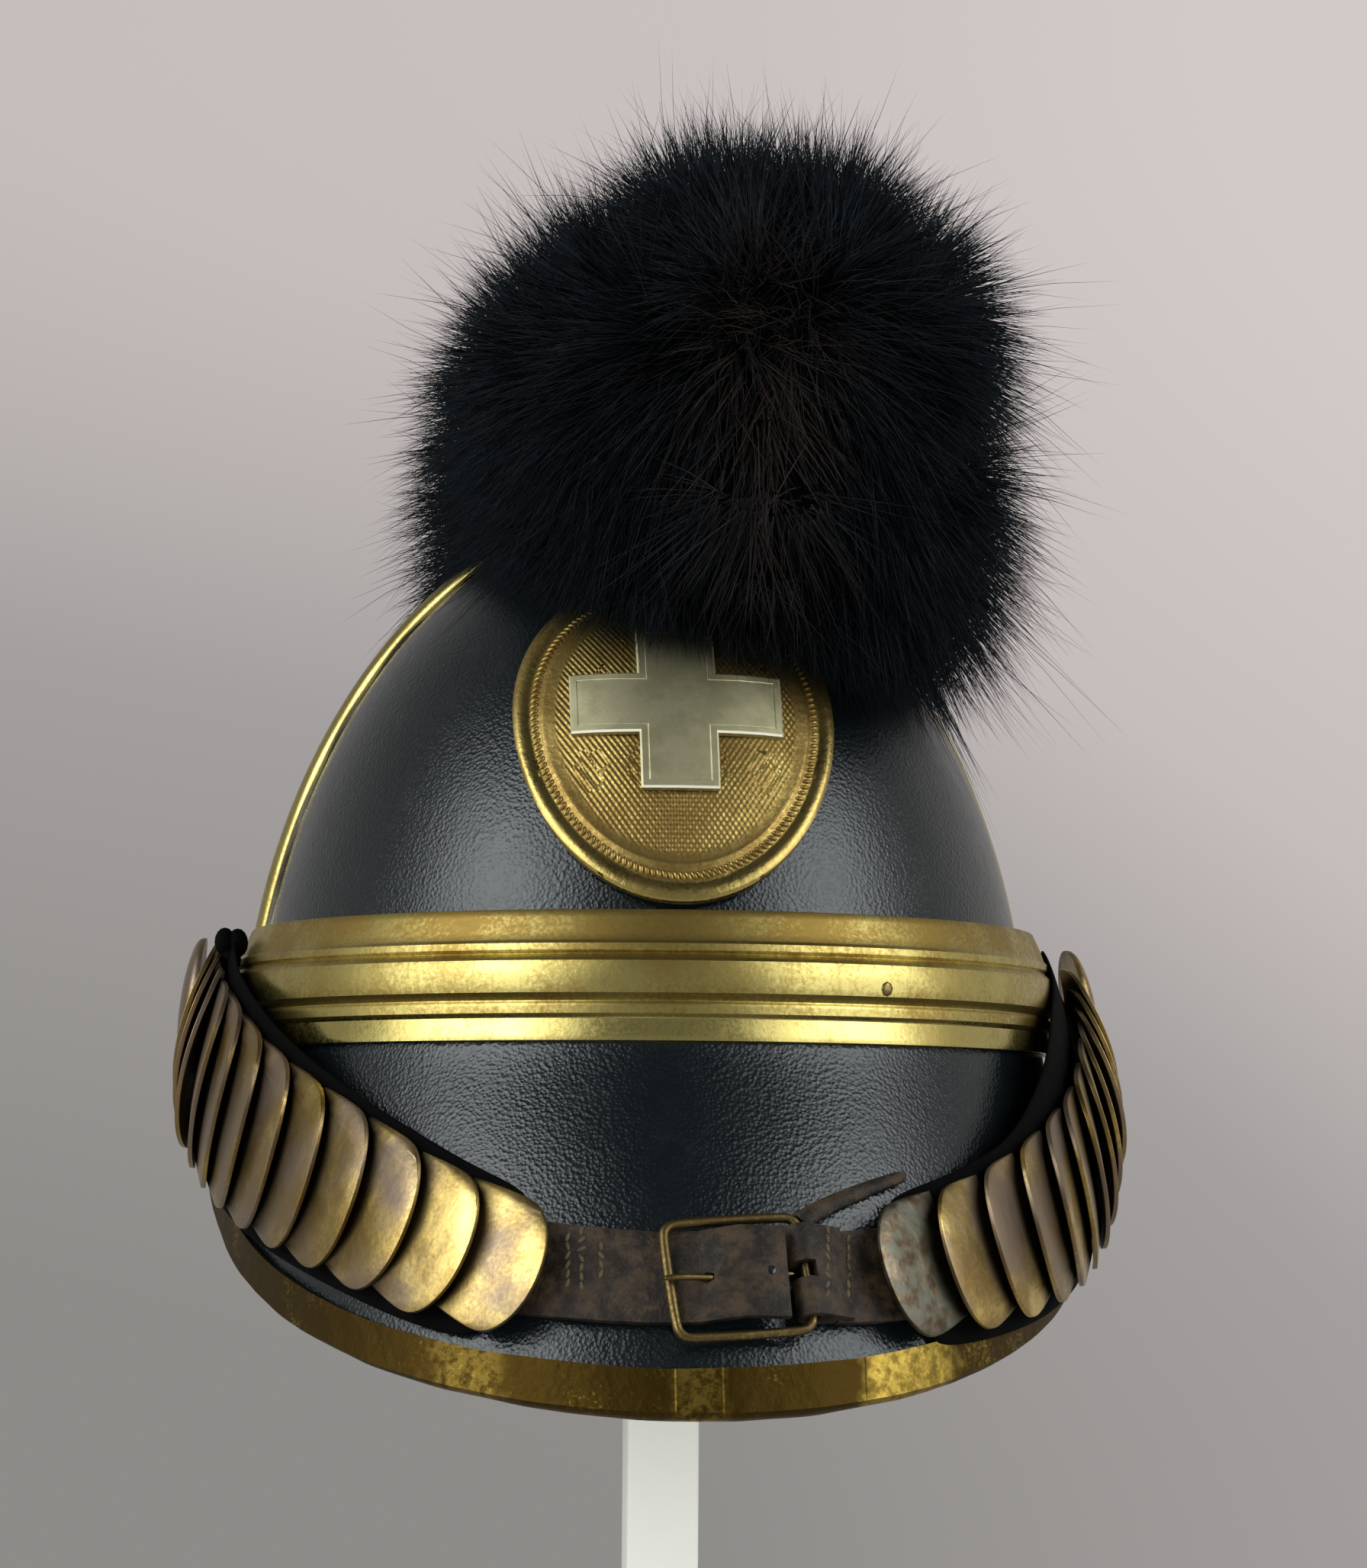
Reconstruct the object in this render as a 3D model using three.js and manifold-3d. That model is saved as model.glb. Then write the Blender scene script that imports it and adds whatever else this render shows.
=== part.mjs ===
// A dragoon helmet of black leather with brass fittings and a fur crest, resting on a plain stand.
// Millimetres, +Z up. The helmet's front faces -Y and the stand's foot lies on the plane Z = 0.

import * as THREE from "three";
import { LoftGeometry } from "three/addons/geometries/LoftGeometry.js";
import { mergeVertices } from "three/addons/utils/BufferGeometryUtils.js";
import Module from "manifold-3d";

const wasm = await Module();
wasm.setup();

// Driving dimensions. Heights on the helmet are measured from the front band's lower edge.
// A turn is an angle in degrees round the helmet from its front, towards the viewer's right.
const GAP = 0.35; // clearance between pieces that touch
const WELD = 1e-3; // points nearer than this are one point
const HELMET_LIFT = 160; // the band's lower edge above the table

// The slack is the power of the dome's outline, where 2 would be a true oval.
const SKULL = { halfWidth: 84.5, halfLength: 104, height: 120, slack: 1.9, wall: 2.2 };
// The skull's lower edge, and how far it dips at the nape.
const RIM = { up: -8, napeDrop: 26 };
const SKULL_MESH = { sides: 40, courses: 8 };

const PEAK = { leather: 2, flange: 9, halfWidth: 92, reach: 140, drop: 70.5, fullness: 0.46, bulge: 3 };
const PEAK_MESH = { endTurn: 88, steps: 32, courses: 4 };

const BINDING = { metal: 0.75, faceLeg: 8, backLeg: 0.75, legShare: 0.6 };
// The binding's rounded nose: where its shoulder and tip lie past the edge, and the tip's thickness.
const NOSE = { shoulder: 0.6, tip: 1.5, tipShare: 0.45 };

const BAND = { seat: 2.7, height: 26, endTurn: 98, steps: 28 };
// The band's outer face from its lower edge up: a flared hem, a bead, the broad rib, a bead, a flat.
const BAND_PROFILE = [
  { up: 0, out: 4.8 },
  { up: 4.5, out: 3.9 },
  { up: 5.4, out: 4.7 },
  { up: 7.2, out: 4.7 },
  { up: 7.9, out: 4.3 },
  { up: 9.4, out: 6.0 },
  { up: 12.6, out: 6.6 },
  { up: 15.8, out: 6.3 },
  { up: 17.2, out: 4.9 },
  { up: 17.8, out: 5.6 },
  { up: 19.2, out: 5.6 },
  { up: 19.8, out: 5.0 },
  { up: BAND.height, out: 3.2 },
];

const BRACE = { turn: 95.5, footUp: 26.5, topRise: 66, halfWidth: 4.5, steps: 14 };
// The brace's half-round section, from edge to edge.
const BRACE_SECTION = [
  { across: -1, lift: 1.0 },
  { across: -0.6, lift: 2.6 },
  { across: 0, lift: 3.2 },
  { across: 0.6, lift: 2.6 },
  { across: 1, lift: 1.0 },
];

const PLATE = { halfWidth: 32, halfHeight: 40, middleUp: 64.5, sides: 32, backRings: 4 };
// The plate's relief from its middle to its edge: ground, beaded border, smooth rim.
const PLATE_RELIEF = [
  { share: 0, lift: 3.4 },
  { share: 0.5, lift: 3.1 },
  { share: 0.78, lift: 2.4 },
  { share: 0.81, lift: 3.1 },
  { share: 0.86, lift: 3.1 },
  { share: 0.89, lift: 2.5 },
  { share: 0.95, lift: 2.9 },
  { share: 1, lift: 1.2 },
];
// The squat is how much of its height the cross keeps.
const CROSS = { halfSpan: 21.3, halfArm: 7.8, squat: 0.9, aboveMiddle: 2, metal: 1.1, armCells: 3 };

const BOSS = { radius: 14.5, discOut: 12.8, edge: 1, apexOut: 16.4, stem: 3.2, sides: 14, courses: 4 };

const STRAP = { width: 18.4, leather: 1.6, tail: 6, step: 9 };
// The chin chain's middle line, boss to buckle. Out is measured from the skull, or from the peak
// where the chain hangs below the band, and tilt is how far the chain's face looks up.
const LEFT_ROUTE = [
  { turn: -92, up: 9, out: 8, tilt: 8 },
  { turn: -76, up: -5, out: 8.4, tilt: 6 },
  { turn: -60, up: -18.5, out: 7.2, tilt: 7 },
  { turn: -42, up: -31.5, out: 5.4, tilt: 11 },
  { turn: -24, up: -43.5, out: 4, tilt: 17 },
  { turn: -11, up: -46, out: 2.8, tilt: 21 },
  { turn: -4.6, up: -46.5, out: 2.3, tilt: 23 },
  { turn: -0.7, up: -46.6, out: 2.2, tilt: 23 },
  { turn: 3, up: -46.6, out: 5.8, tilt: 23 },
  { turn: 5, up: -46.6, out: 6.5, tilt: 23 },
  { turn: 10, up: -46.8, out: 6.6, tilt: 23 },
];
const RIGHT_ROUTE = [
  { turn: 92, up: 8, out: 8, tilt: 10 },
  { turn: 80, up: -9, out: 7.4, tilt: 7 },
  { turn: 66, up: -24, out: 6.4, tilt: 6 },
  { turn: 50, up: -35.5, out: 5.6, tilt: 10 },
  { turn: 36, up: -42.5, out: 4.4, tilt: 15 },
  { turn: 23, up: -46, out: 3, tilt: 20 },
  { turn: 15.4, up: -46.6, out: 2.6, tilt: 22 },
];

const SCALE = { count: 12, metal: 1, neck: 7, root: 0.76, round: 0.42, crown: 0.055, lift: 1.8, ribs: 8 };
// The row of scales from the boss to the last one before the buckle. They lie closer near the boss.
const SCALE_ROW = { first: 5, widest: 42, narrowest: 28, taper: 1.6, crowding: 1.22 };

const BUCKLE = { length: 29, height: 25.5, bar: 2.2, corner: 3, roll: 4 };
const BUCKLE_SEAT = { turn: 4.9, up: -46.6, out: 3.3, tilt: 23 };
const BUCKLE_MESH = { barSides: 8, cornerSteps: 3 };
const PRONG = { radius: 0.75, slot: 3.4, sides: 3, steps: 8 };
// The prong's line from its eye to its tip: along as a share of the way to a bar, and how far it has
// risen from the frame's plane to the top of that bar.
const PRONG_LINE = [
  { along: 0.83, rise: 0 },
  { along: 0.3, rise: 0.05 },
  { along: -0.35, rise: 0.24 },
  { along: -0.75, rise: 0.91 },
  { along: -1, rise: 1.05 },
  { along: -1.11, rise: 0.91 },
];
const FOLD = { length: 8.5, sag: 1.5, wrapStart: 0.4, wrapEnd: 1.5, wrapSteps: 5 };

const FUR = { sides: 12, seat: 0.9 };
const LOCK = { sides: 4, radius: 27, length: 29, out: 12, sweep: 0.5, unevenness: 0.3 };
// The crest's core from its front end over the crown to its back end, and the locks after each row.
const FUR_CORE = [
  { y: -100, z: 118, radius: 16, lean: 15, locks: 5 },
  { y: -94, z: 121, radius: 36, lean: 15, locks: 8 },
  { y: -76, z: 128, radius: 48, lean: 15, locks: 12 },
  { y: -46, z: 134, radius: 52, lean: 14, locks: 12 },
  { y: -14, z: 137, radius: 51, lean: 11, locks: 12 },
  { y: 22, z: 133, radius: 48, lean: 7, locks: 11 },
  { y: 56, z: 119, radius: 43, lean: 3, locks: 9 },
  { y: 84, z: 97, radius: 36, lean: 1, locks: 6 },
  { y: 101, z: 74, radius: 27, lean: 0, locks: 4 },
  { y: 108, z: 61, radius: 14, lean: 0, locks: 0 },
];

const STAND = { base: 170, baseCorner: 8, baseHeight: 12, post: 15.5, postSide: 5, cornerSteps: 4 };
const STAND_HEAD = { radius: 26, height: 7, seat: 1.1, sides: 20, courses: 4 };

const COLOUR = {
  leather: { color: 0x17181c, roughness: 0.5, metalness: 0 },
  strap: { color: 0x2c2119, roughness: 0.7, metalness: 0 },
  brass: { color: 0xb58a3c, roughness: 0.3, metalness: 1 },
  tarnished: { color: 0x7d6440, roughness: 0.4, metalness: 1 },
  nickel: { color: 0xa9a890, roughness: 0.35, metalness: 1 },
  fur: { color: 0x15120f, roughness: 0.9, metalness: 0 },
  painted: { color: 0xe4e2de, roughness: 0.6, metalness: 0 },
};

const radians = THREE.MathUtils.degToRad;
const lerp = THREE.MathUtils.lerp;

// Evenly spaced values from start to end, both included.
function spread(start, end, steps) {
  return Array.from({ length: steps + 1 }, (_, step) => lerp(start, end, step / steps));
}

const PEAK_TURNS = spread(-radians(PEAK_MESH.endTurn), radians(PEAK_MESH.endTurn), PEAK_MESH.steps);

// Closed solids between rings of points, which run counterclockwise seen from the last ring.
function capped(rings) {
  return new LoftGeometry(rings, { capStart: true, capEnd: true });
}

// The solid of a geometry for joining and cutting.
function solid(geometry, matrix = new THREE.Matrix4()) {
  const bare = new THREE.BufferGeometry();
  bare.setAttribute("position", geometry.getAttribute("position").clone());
  bare.setIndex(geometry.index);
  bare.applyMatrix4(matrix);
  const merged = mergeVertices(bare, WELD);
  return new wasm.Manifold(
    new wasm.Mesh({
      numProp: 3,
      vertProperties: merged.attributes.position.array,
      triVerts: new Uint32Array(merged.index.array),
    }),
  );
}

// The geometry of a solid that was joined or cut, without the crumbs that a cut can leave.
function geometryOf(shape) {
  const bodies = shape.decompose().sort((a, b) => b.volume() - a.volume());
  const mesh = bodies[0].getMesh();
  const geometry = new THREE.BufferGeometry();
  geometry.setAttribute("position", new THREE.BufferAttribute(mesh.vertProperties, 3));
  geometry.setIndex(new THREE.BufferAttribute(mesh.triVerts, 1));
  geometry.computeVertexNormals();
  return geometry;
}

// The skull's forms

// The outward direction of the skull's plan at a turn in radians.
function outward(turn) {
  const x = Math.sin(turn) / SKULL.halfWidth;
  const y = -Math.cos(turn) / SKULL.halfLength;
  return new THREE.Vector3(x, y, 0).normalize();
}

// The dome's outline by its rise, which runs from 0 at the band to a right angle at the crown:
// the share of the plan that is left, and the share of the height that is reached.
const planShare = (rise) => Math.cos(rise) ** (2 / SKULL.slack);
const heightShare = (rise) => Math.sin(rise) ** (2 / SKULL.slack);
const riseAt = (up) => Math.asin((up / SKULL.height) ** (SKULL.slack / 2));

// A point beside the skull, a level distance out from it. Below the band the skull stands upright.
function besideSkull(turn, up, out) {
  const share = up > 0 ? planShare(riseAt(up)) : 1;
  const x = SKULL.halfWidth * share * Math.sin(turn);
  const y = -SKULL.halfLength * share * Math.cos(turn);
  return new THREE.Vector3(x, y, up).addScaledVector(outward(turn), out);
}

// A point on the dome, lifted square off its face.
function onDome(turn, rise, lift) {
  const { halfWidth, halfLength, height, slack } = SKULL;
  const x = halfWidth * planShare(rise) * Math.sin(turn);
  const y = -halfLength * planShare(rise) * Math.cos(turn);
  const z = height * heightShare(rise);
  const level = planShare(rise) ** (slack - 2);
  const steep = heightShare(rise) ** (slack - 1) / height;
  const normal = new THREE.Vector3((x * level) / halfWidth ** 2, (y * level) / halfLength ** 2, steep);
  return new THREE.Vector3(x, y, z).addScaledVector(normal.normalize(), lift);
}

// The bowl is a turned wall, stretched to the head's oval, with a rim that dips at the nape.
function skullGeometry() {
  const { halfWidth, halfLength, height, wall } = SKULL;
  const inside = 1 - wall / halfWidth;
  const rises = spread(Math.PI / 2, 0, SKULL_MESH.courses);
  const inner = rises.map((a) => new THREE.Vector2(inside * planShare(a), (height - wall) * heightShare(a)));
  const outer = rises.map((a) => new THREE.Vector2(planShare(a), height * heightShare(a)));
  const edge = [new THREE.Vector2(inside, RIM.up), new THREE.Vector2(1, RIM.up)];
  const geometry = new THREE.LatheGeometry([...inner, ...edge, ...outer.reverse()], SKULL_MESH.sides);
  const position = geometry.getAttribute("position");
  for (let i = 0; i < position.count; i++) {
    const [side, up, front] = [position.getX(i), position.getY(i), position.getZ(i)];
    const backShare = (1 - Math.cos(Math.atan2(side, front))) / 2;
    const dip = up < 0 ? RIM.napeDrop * backShare ** 3 : 0;
    position.setXYZ(i, side * halfWidth, -front * halfLength, up - dip);
  }
  return geometry;
}

// The peak's forms

// How far the peak's edge hangs below the band.
function peakDrop(turn) {
  return PEAK.drop * Math.max(Math.cos(turn), 0) ** PEAK.fullness;
}

// A point in the middle of the peak's leather. The slope runs from 0 at the band to 1 at the edge.
function onPeak(turn, slope) {
  const root = besideSkull(turn, 0, GAP + PEAK.leather / 2);
  const x = PEAK.halfWidth * Math.sin(turn);
  const y = -PEAK.reach * Math.cos(turn);
  const edge = new THREE.Vector3(x, y, -peakDrop(turn));
  const swell = PEAK.bulge * 4 * slope * (1 - slope) * Math.cos(turn);
  return root.lerp(edge, slope).addScaledVector(outward(turn), swell);
}

// The peak's downhill direction and the direction that its upper face looks.
function peakFrame(turn, slope) {
  const step = 0.01;
  const downhill = onPeak(turn, slope + step).sub(onPeak(turn, slope - step)).normalize();
  const round = onPeak(turn + step, slope).sub(onPeak(turn - step, slope));
  return { downhill, facing: downhill.clone().cross(round).normalize() };
}

function peakGeometry() {
  const slopes = spread(0, 1, PEAK_MESH.courses);
  const face = (turn, lift) =>
    slopes.map((slope) => onPeak(turn, slope).addScaledVector(peakFrame(turn, slope).facing, lift));
  const rings = PEAK_TURNS.map((turn) => [
    ...face(turn, -PEAK.leather / 2).reverse(),
    besideSkull(turn, PEAK.flange, GAP),
    besideSkull(turn, PEAK.flange, GAP + PEAK.leather),
    ...face(turn, PEAK.leather / 2),
  ]);
  return capped(rings);
}

// The binding is a channel folded over the peak's edge. Its legs shorten where the peak runs out.
function bindingGeometry() {
  const inner = PEAK.leather / 2 + GAP;
  const outer = inner + BINDING.metal;
  const { backLeg } = BINDING;
  const { shoulder, tip } = NOSE;
  const round = outer * NOSE.tipShare;
  const section = [
    { leg: 1, past: 0, out: inner },
    { leg: 1, past: 0, out: outer },
    { leg: 0, past: shoulder, out: outer },
    { leg: 0, past: tip, out: round },
    { leg: 0, past: tip, out: -round },
    { leg: 0, past: shoulder, out: -outer },
    { leg: backLeg, past: 0, out: -outer },
    { leg: backLeg, past: 0, out: -inner },
    { leg: 0, past: GAP, out: -inner },
    { leg: 0, past: GAP, out: inner },
  ];
  const rings = PEAK_TURNS.slice(1, -1).map((turn) => {
    const { downhill, facing } = peakFrame(turn, 1);
    const legLength = Math.min(BINDING.faceLeg, peakDrop(turn) * BINDING.legShare);
    return section.map(({ leg, past, out }) =>
      onPeak(turn, 1)
        .addScaledVector(downhill, past - leg * legLength)
        .addScaledVector(facing, out),
    );
  });
  return capped(rings);
}

function bandGeometry() {
  const section = [
    { up: 0, out: BAND.seat },
    { up: BAND.height / 2, out: BAND.seat },
    { up: BAND.height, out: BAND.seat },
    ...BAND_PROFILE.toReversed(),
  ];
  const endTurn = radians(BAND.endTurn);
  const turns = spread(-endTurn, endTurn, BAND.steps);
  return capped(turns.map((turn) => section.map(({ up, out }) => besideSkull(turn, up, out))));
}

// Side braces, which a margin fattens for the pocket that the fur leaves round them
function braceGeometry(side, margin = 0) {
  const rings = spread(riseAt(BRACE.footUp), radians(BRACE.topRise), BRACE.steps).map((rise) => {
    const reach = (BRACE.halfWidth + margin) / (SKULL.halfLength * planShare(rise));
    const at = (across, lift) => onDome(side * radians(BRACE.turn) + across * reach, rise, lift);
    const crown = BRACE_SECTION.map(({ across, lift }) => at(across, lift + margin));
    return [...crown, at(1, GAP), at(0, GAP), at(-1, GAP)];
  });
  return capped(rings);
}

// The front plate's forms

// A point over the dome by its distances across and up from the plate's middle.
function onPlateGround(across, upward, lift) {
  const middleRise = riseAt(PLATE.middleUp);
  const meridian = Math.hypot(SKULL.halfLength * Math.sin(middleRise), SKULL.height * Math.cos(middleRise));
  const rise = middleRise + upward / meridian;
  return onDome(Math.asin(across / (SKULL.halfWidth * planShare(rise))), rise, lift);
}

// The height of the plate's face over the dome at a share of the way to its edge.
function plateLift(share) {
  const next = PLATE_RELIEF.findIndex((row) => row.share >= share);
  const [low, high] = [PLATE_RELIEF[Math.max(next - 1, 0)], PLATE_RELIEF[next]];
  const part = high === low ? 0 : (share - low.share) / (high.share - low.share);
  return lerp(low.lift, high.lift, part);
}

function plateGeometry(margin = 0) {
  const ring = (share, lift) =>
    spread(0, 2 * Math.PI, PLATE.sides)
      .slice(0, PLATE.sides)
      .map((angle) => {
        const across = (PLATE.halfWidth + margin) * share * Math.cos(angle);
        const upward = (PLATE.halfHeight + margin) * share * Math.sin(angle);
        return onPlateGround(across, upward, lift);
      });
  const back = spread(0, 1, PLATE.backRings).map((share) => ring(share, GAP));
  const face = PLATE_RELIEF.toReversed().map(({ share, lift }) => ring(share, lift + margin));
  return new LoftGeometry([...back, ...face]);
}

// The cross is a sheet cut to a grid of cells, bent over the plate's ground.
function crossGeometry() {
  const { halfSpan, halfArm, squat, aboveMiddle, metal, armCells } = CROSS;
  const arm = spread(halfArm, halfSpan, armCells);
  const lines = [...arm.toReversed().map((value) => -value), 0, ...arm];
  const cells = lines.length - 1;
  const middleOf = (i) => (lines[i] + lines[i + 1]) / 2;
  const inside = (i, j) =>
    Math.min(i, j) >= 0 &&
    Math.max(i, j) < cells &&
    Math.min(Math.abs(middleOf(i)), Math.abs(middleOf(j))) < halfArm;
  const point = (i, j, lift) => {
    const [across, upward] = [lines[i], lines[j] * squat + aboveMiddle];
    const share = Math.hypot(across / PLATE.halfWidth, upward / PLATE.halfHeight);
    return onPlateGround(across, upward, plateLift(share) + GAP + lift);
  };
  const corners = [];
  const quad = (a, b, c, d) => corners.push(a, b, c, a, c, d);
  const wall = (i, j, k, l) => quad(point(i, j, 0), point(k, l, 0), point(k, l, metal), point(i, j, metal));
  for (let i = 0; i < cells; i++) {
    for (let j = 0; j < cells; j++) {
      if (!inside(i, j)) continue;
      const loop = [[i, j], [i + 1, j], [i + 1, j + 1], [i, j + 1]];
      quad(...loop.map(([k, l]) => point(k, l, metal)));
      quad(...loop.toReversed().map(([k, l]) => point(k, l, 0)));
      if (!inside(i, j - 1)) wall(i, j, i + 1, j);
      if (!inside(i + 1, j)) wall(i + 1, j, i + 1, j + 1);
      if (!inside(i, j + 1)) wall(i + 1, j + 1, i, j + 1);
      if (!inside(i - 1, j)) wall(i, j + 1, i, j);
    }
  }
  const bare = new THREE.BufferGeometry().setFromPoints(corners);
  const geometry = mergeVertices(bare, WELD);
  geometry.computeVertexNormals();
  return geometry;
}

// The chin chain's forms

// The place, and the direction looking out, of one station of a chain's route.
function station({ turn, up, out, tilt }) {
  const angle = radians(turn);
  const facing = outward(angle).multiplyScalar(Math.cos(radians(tilt))).setZ(Math.sin(radians(tilt)));
  const seat = up >= 0 ? besideSkull(angle, up, 0) : onPeak(angle, -up / peakDrop(angle));
  return { place: seat.addScaledVector(facing, out), facing };
}

// A smooth route through stations, whose frames have x onward, y across and z outward.
function routeThrough(rows) {
  const stations = rows.map(station);
  const line = new THREE.CatmullRomCurve3(stations.map(({ place }) => place));
  const feeler = new THREE.CatmullRomCurve3(stations.map(({ facing }) => facing));
  const length = line.getLength();
  const frameAt = (distance) => {
    const share = line.getUtoTmapping(THREE.MathUtils.clamp(distance / length, 0, 1));
    const onward = line.getTangent(share);
    const across = feeler.getPoint(share).cross(onward).normalize();
    const outwards = onward.clone().cross(across);
    const excess = distance - THREE.MathUtils.clamp(distance, 0, length);
    const place = line.getPoint(share).addScaledVector(onward, excess);
    return new THREE.Matrix4().makeBasis(onward, across, outwards).setPosition(place);
  };
  const distanceTo = (turn) => {
    const target = rows.findIndex((row) => Math.abs(row.turn) < Math.abs(turn));
    const [before, after] = [rows[target - 1], rows[target]];
    const part = (turn - before.turn) / (after.turn - before.turn);
    const share = (target - 1 + part) / (rows.length - 1);
    const samples = 400;
    const lengths = line.getLengths(samples);
    return lengths[Math.round(share * samples)];
  };
  return { length, frameAt, distanceTo };
}

// A flat strap along a route, with a tail behind its boss.
function ribbonGeometry(route) {
  const steps = Math.ceil((route.length + STRAP.tail) / STRAP.step);
  const [w, t] = [STRAP.width / 2, STRAP.leather / 2];
  const corners = [[-w, -t], [w, -t], [w, t], [-w, t]];
  const rings = spread(-STRAP.tail, route.length, steps).map((distance) => {
    const frame = route.frameAt(distance);
    return corners.map(([y, z]) => new THREE.Vector3(0, y, z).applyMatrix4(frame));
  });
  return capped(rings);
}

// One scale: a thin plate crowned across its width. It is narrower at its root, and its rounded free edge
// rakes up over the next scale.
function scaleGeometry(width, pitch) {
  const rake = (SCALE.metal + GAP) / pitch;
  const rings = spread(-Math.PI / 2, Math.PI / 2, SCALE.ribs).map((angle) => {
    const reach = SCALE.neck + SCALE.round * width * Math.cos(angle);
    const corner = (x, share, height) => {
      const side = Math.sin(angle) * share;
      const crown = SCALE.crown * width * side ** 2;
      return new THREE.Vector3(x, (side * width) / 2, SCALE.lift - crown + height + x * rake);
    };
    return [
      corner(0, SCALE.root, 0),
      corner(0, SCALE.root, SCALE.metal),
      corner(reach, 1, SCALE.metal),
      corner(reach, 1, 0),
    ];
  });
  return capped(rings);
}

// The boss: a domed disc on a stem that stands on the band. Its axis is local y.
function bossGeometry() {
  const { radius, stem, discOut, edge, apexOut, sides, courses } = BOSS;
  const foot = Math.max(...BAND_PROFILE.map((row) => row.out)) + 2 * GAP;
  const dome = spread(0, Math.PI / 2, courses).map((angle) => {
    const rise = (apexOut - discOut - edge) * Math.sin(angle);
    return new THREE.Vector2(radius * Math.cos(angle), discOut + edge + rise);
  });
  const profile = [
    new THREE.Vector2(0, foot),
    new THREE.Vector2(stem, foot),
    new THREE.Vector2(stem, discOut),
    new THREE.Vector2(radius, discOut),
    ...dome,
  ];
  return new THREE.LatheGeometry(profile, sides);
}

// A matrix that stands a turned piece on the skull at the first station of a chain's route.
function bossFrame(rows) {
  const { place, facing } = station({ ...rows[0], out: 0 });
  const swing = new THREE.Quaternion().setFromUnitVectors(new THREE.Vector3(0, 1, 0), facing);
  return new THREE.Matrix4().makeRotationFromQuaternion(swing).setPosition(place);
}

// The buckle's frame of reference: x along the strap, y across it and z outward.
function buckleFrame() {
  const { place, facing } = station(BUCKLE_SEAT);
  const onward = station({ ...BUCKLE_SEAT, turn: BUCKLE_SEAT.turn + 1 }).place.sub(place).normalize();
  const across = facing.clone().cross(onward).normalize();
  const frame = new THREE.Matrix4().makeBasis(onward, across, onward.clone().cross(across));
  return frame.setPosition(place).multiply(new THREE.Matrix4().makeRotationZ(radians(BUCKLE.roll)));
}

// The buckle is a round bar bent to a rectangle with rounded corners.
function buckleGeometry() {
  const { length, height, bar, corner } = BUCKLE;
  const { barSides, cornerSteps } = BUCKLE_MESH;
  const [halfX, halfY] = [(length - bar) / 2 - corner, (height - bar) / 2 - corner];
  const rings = [];
  for (let quarter = 0; quarter < 4; quarter++) {
    const centre = [[1, 1], [-1, 1], [-1, -1], [1, -1]][quarter];
    for (const angle of spread(0, Math.PI / 2, cornerSteps)) {
      const swing = angle + (quarter * Math.PI) / 2;
      const spoke = new THREE.Vector3(Math.cos(swing), Math.sin(swing), 0);
      const middle = new THREE.Vector3(centre[0] * halfX, centre[1] * halfY, 0);
      middle.addScaledVector(spoke, corner);
      rings.push(
        spread(0, 2 * Math.PI, barSides)
          .slice(0, barSides)
          .map((turn) => {
            const out = (-Math.cos(turn) * bar) / 2;
            return middle.clone().addScaledVector(spoke, out).setZ((Math.sin(turn) * bar) / 2);
          }),
      );
    }
  }
  return new LoftGeometry([...rings, rings[0]]);
}

// The prong lies under the strap's free end, comes up through its hole and rests on the near bar.
function prongGeometry(margin = 0) {
  const bar = BUCKLE.length / 2 - BUCKLE.bar / 2;
  const over = BUCKLE.bar / 2 + GAP + PRONG.radius;
  const points = PRONG_LINE.map(({ along, rise }) => new THREE.Vector3(along * bar, 0, rise * over));
  const path = new THREE.CatmullRomCurve3(points);
  const section = new THREE.Shape().absarc(0, 0, PRONG.radius + margin, 0, 2 * Math.PI);
  const { sides, steps } = PRONG;
  return new THREE.ExtrudeGeometry(section, { steps, curveSegments: sides, extrudePath: path });
}

// The right strap's end, folded round the far bar and sewn, with a slot for the prong's eye.
function foldSolid() {
  const bar = BUCKLE.length / 2 - BUCKLE.bar / 2;
  const eye = BUCKLE.bar / 2 + GAP;
  const nose = eye + STRAP.leather;
  const outline = new THREE.Shape();
  outline.absarc(0, 0, nose, FOLD.wrapStart * Math.PI, FOLD.wrapEnd * Math.PI);
  outline.lineTo(FOLD.length, -FOLD.sag - nose);
  outline.lineTo(FOLD.length, -FOLD.sag - nose + 2 * STRAP.leather);
  outline.holes.push(new THREE.Path().absarc(0, 0, eye, 0, 2 * Math.PI, true));
  const extruded = new THREE.ExtrudeGeometry(outline, {
    depth: STRAP.width, bevelEnabled: false, curveSegments: FOLD.wrapSteps,
  });
  const stand = new THREE.Matrix4().makeRotationX(Math.PI / 2).setPosition(bar, STRAP.width / 2, 0);
  const slot = new THREE.BoxGeometry(2 * nose, PRONG.slot, 4 * nose).translate(bar - eye, 0, 0);
  return solid(extruded, stand).subtract(solid(slot)).transform(buckleFrame().elements);
}

// A hole through the strap for the boss's stem.
function stemHole(rows) {
  const hole = new THREE.CylinderGeometry(BOSS.stem + GAP, BOSS.stem + GAP, BOSS.apexOut, BOSS.sides);
  hole.translate(0, BOSS.apexOut / 2, 0);
  return solid(hole, bossFrame(rows));
}

// The fur crest: a core swept over the crown, with locks that stand off it, seated on the skull

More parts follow.
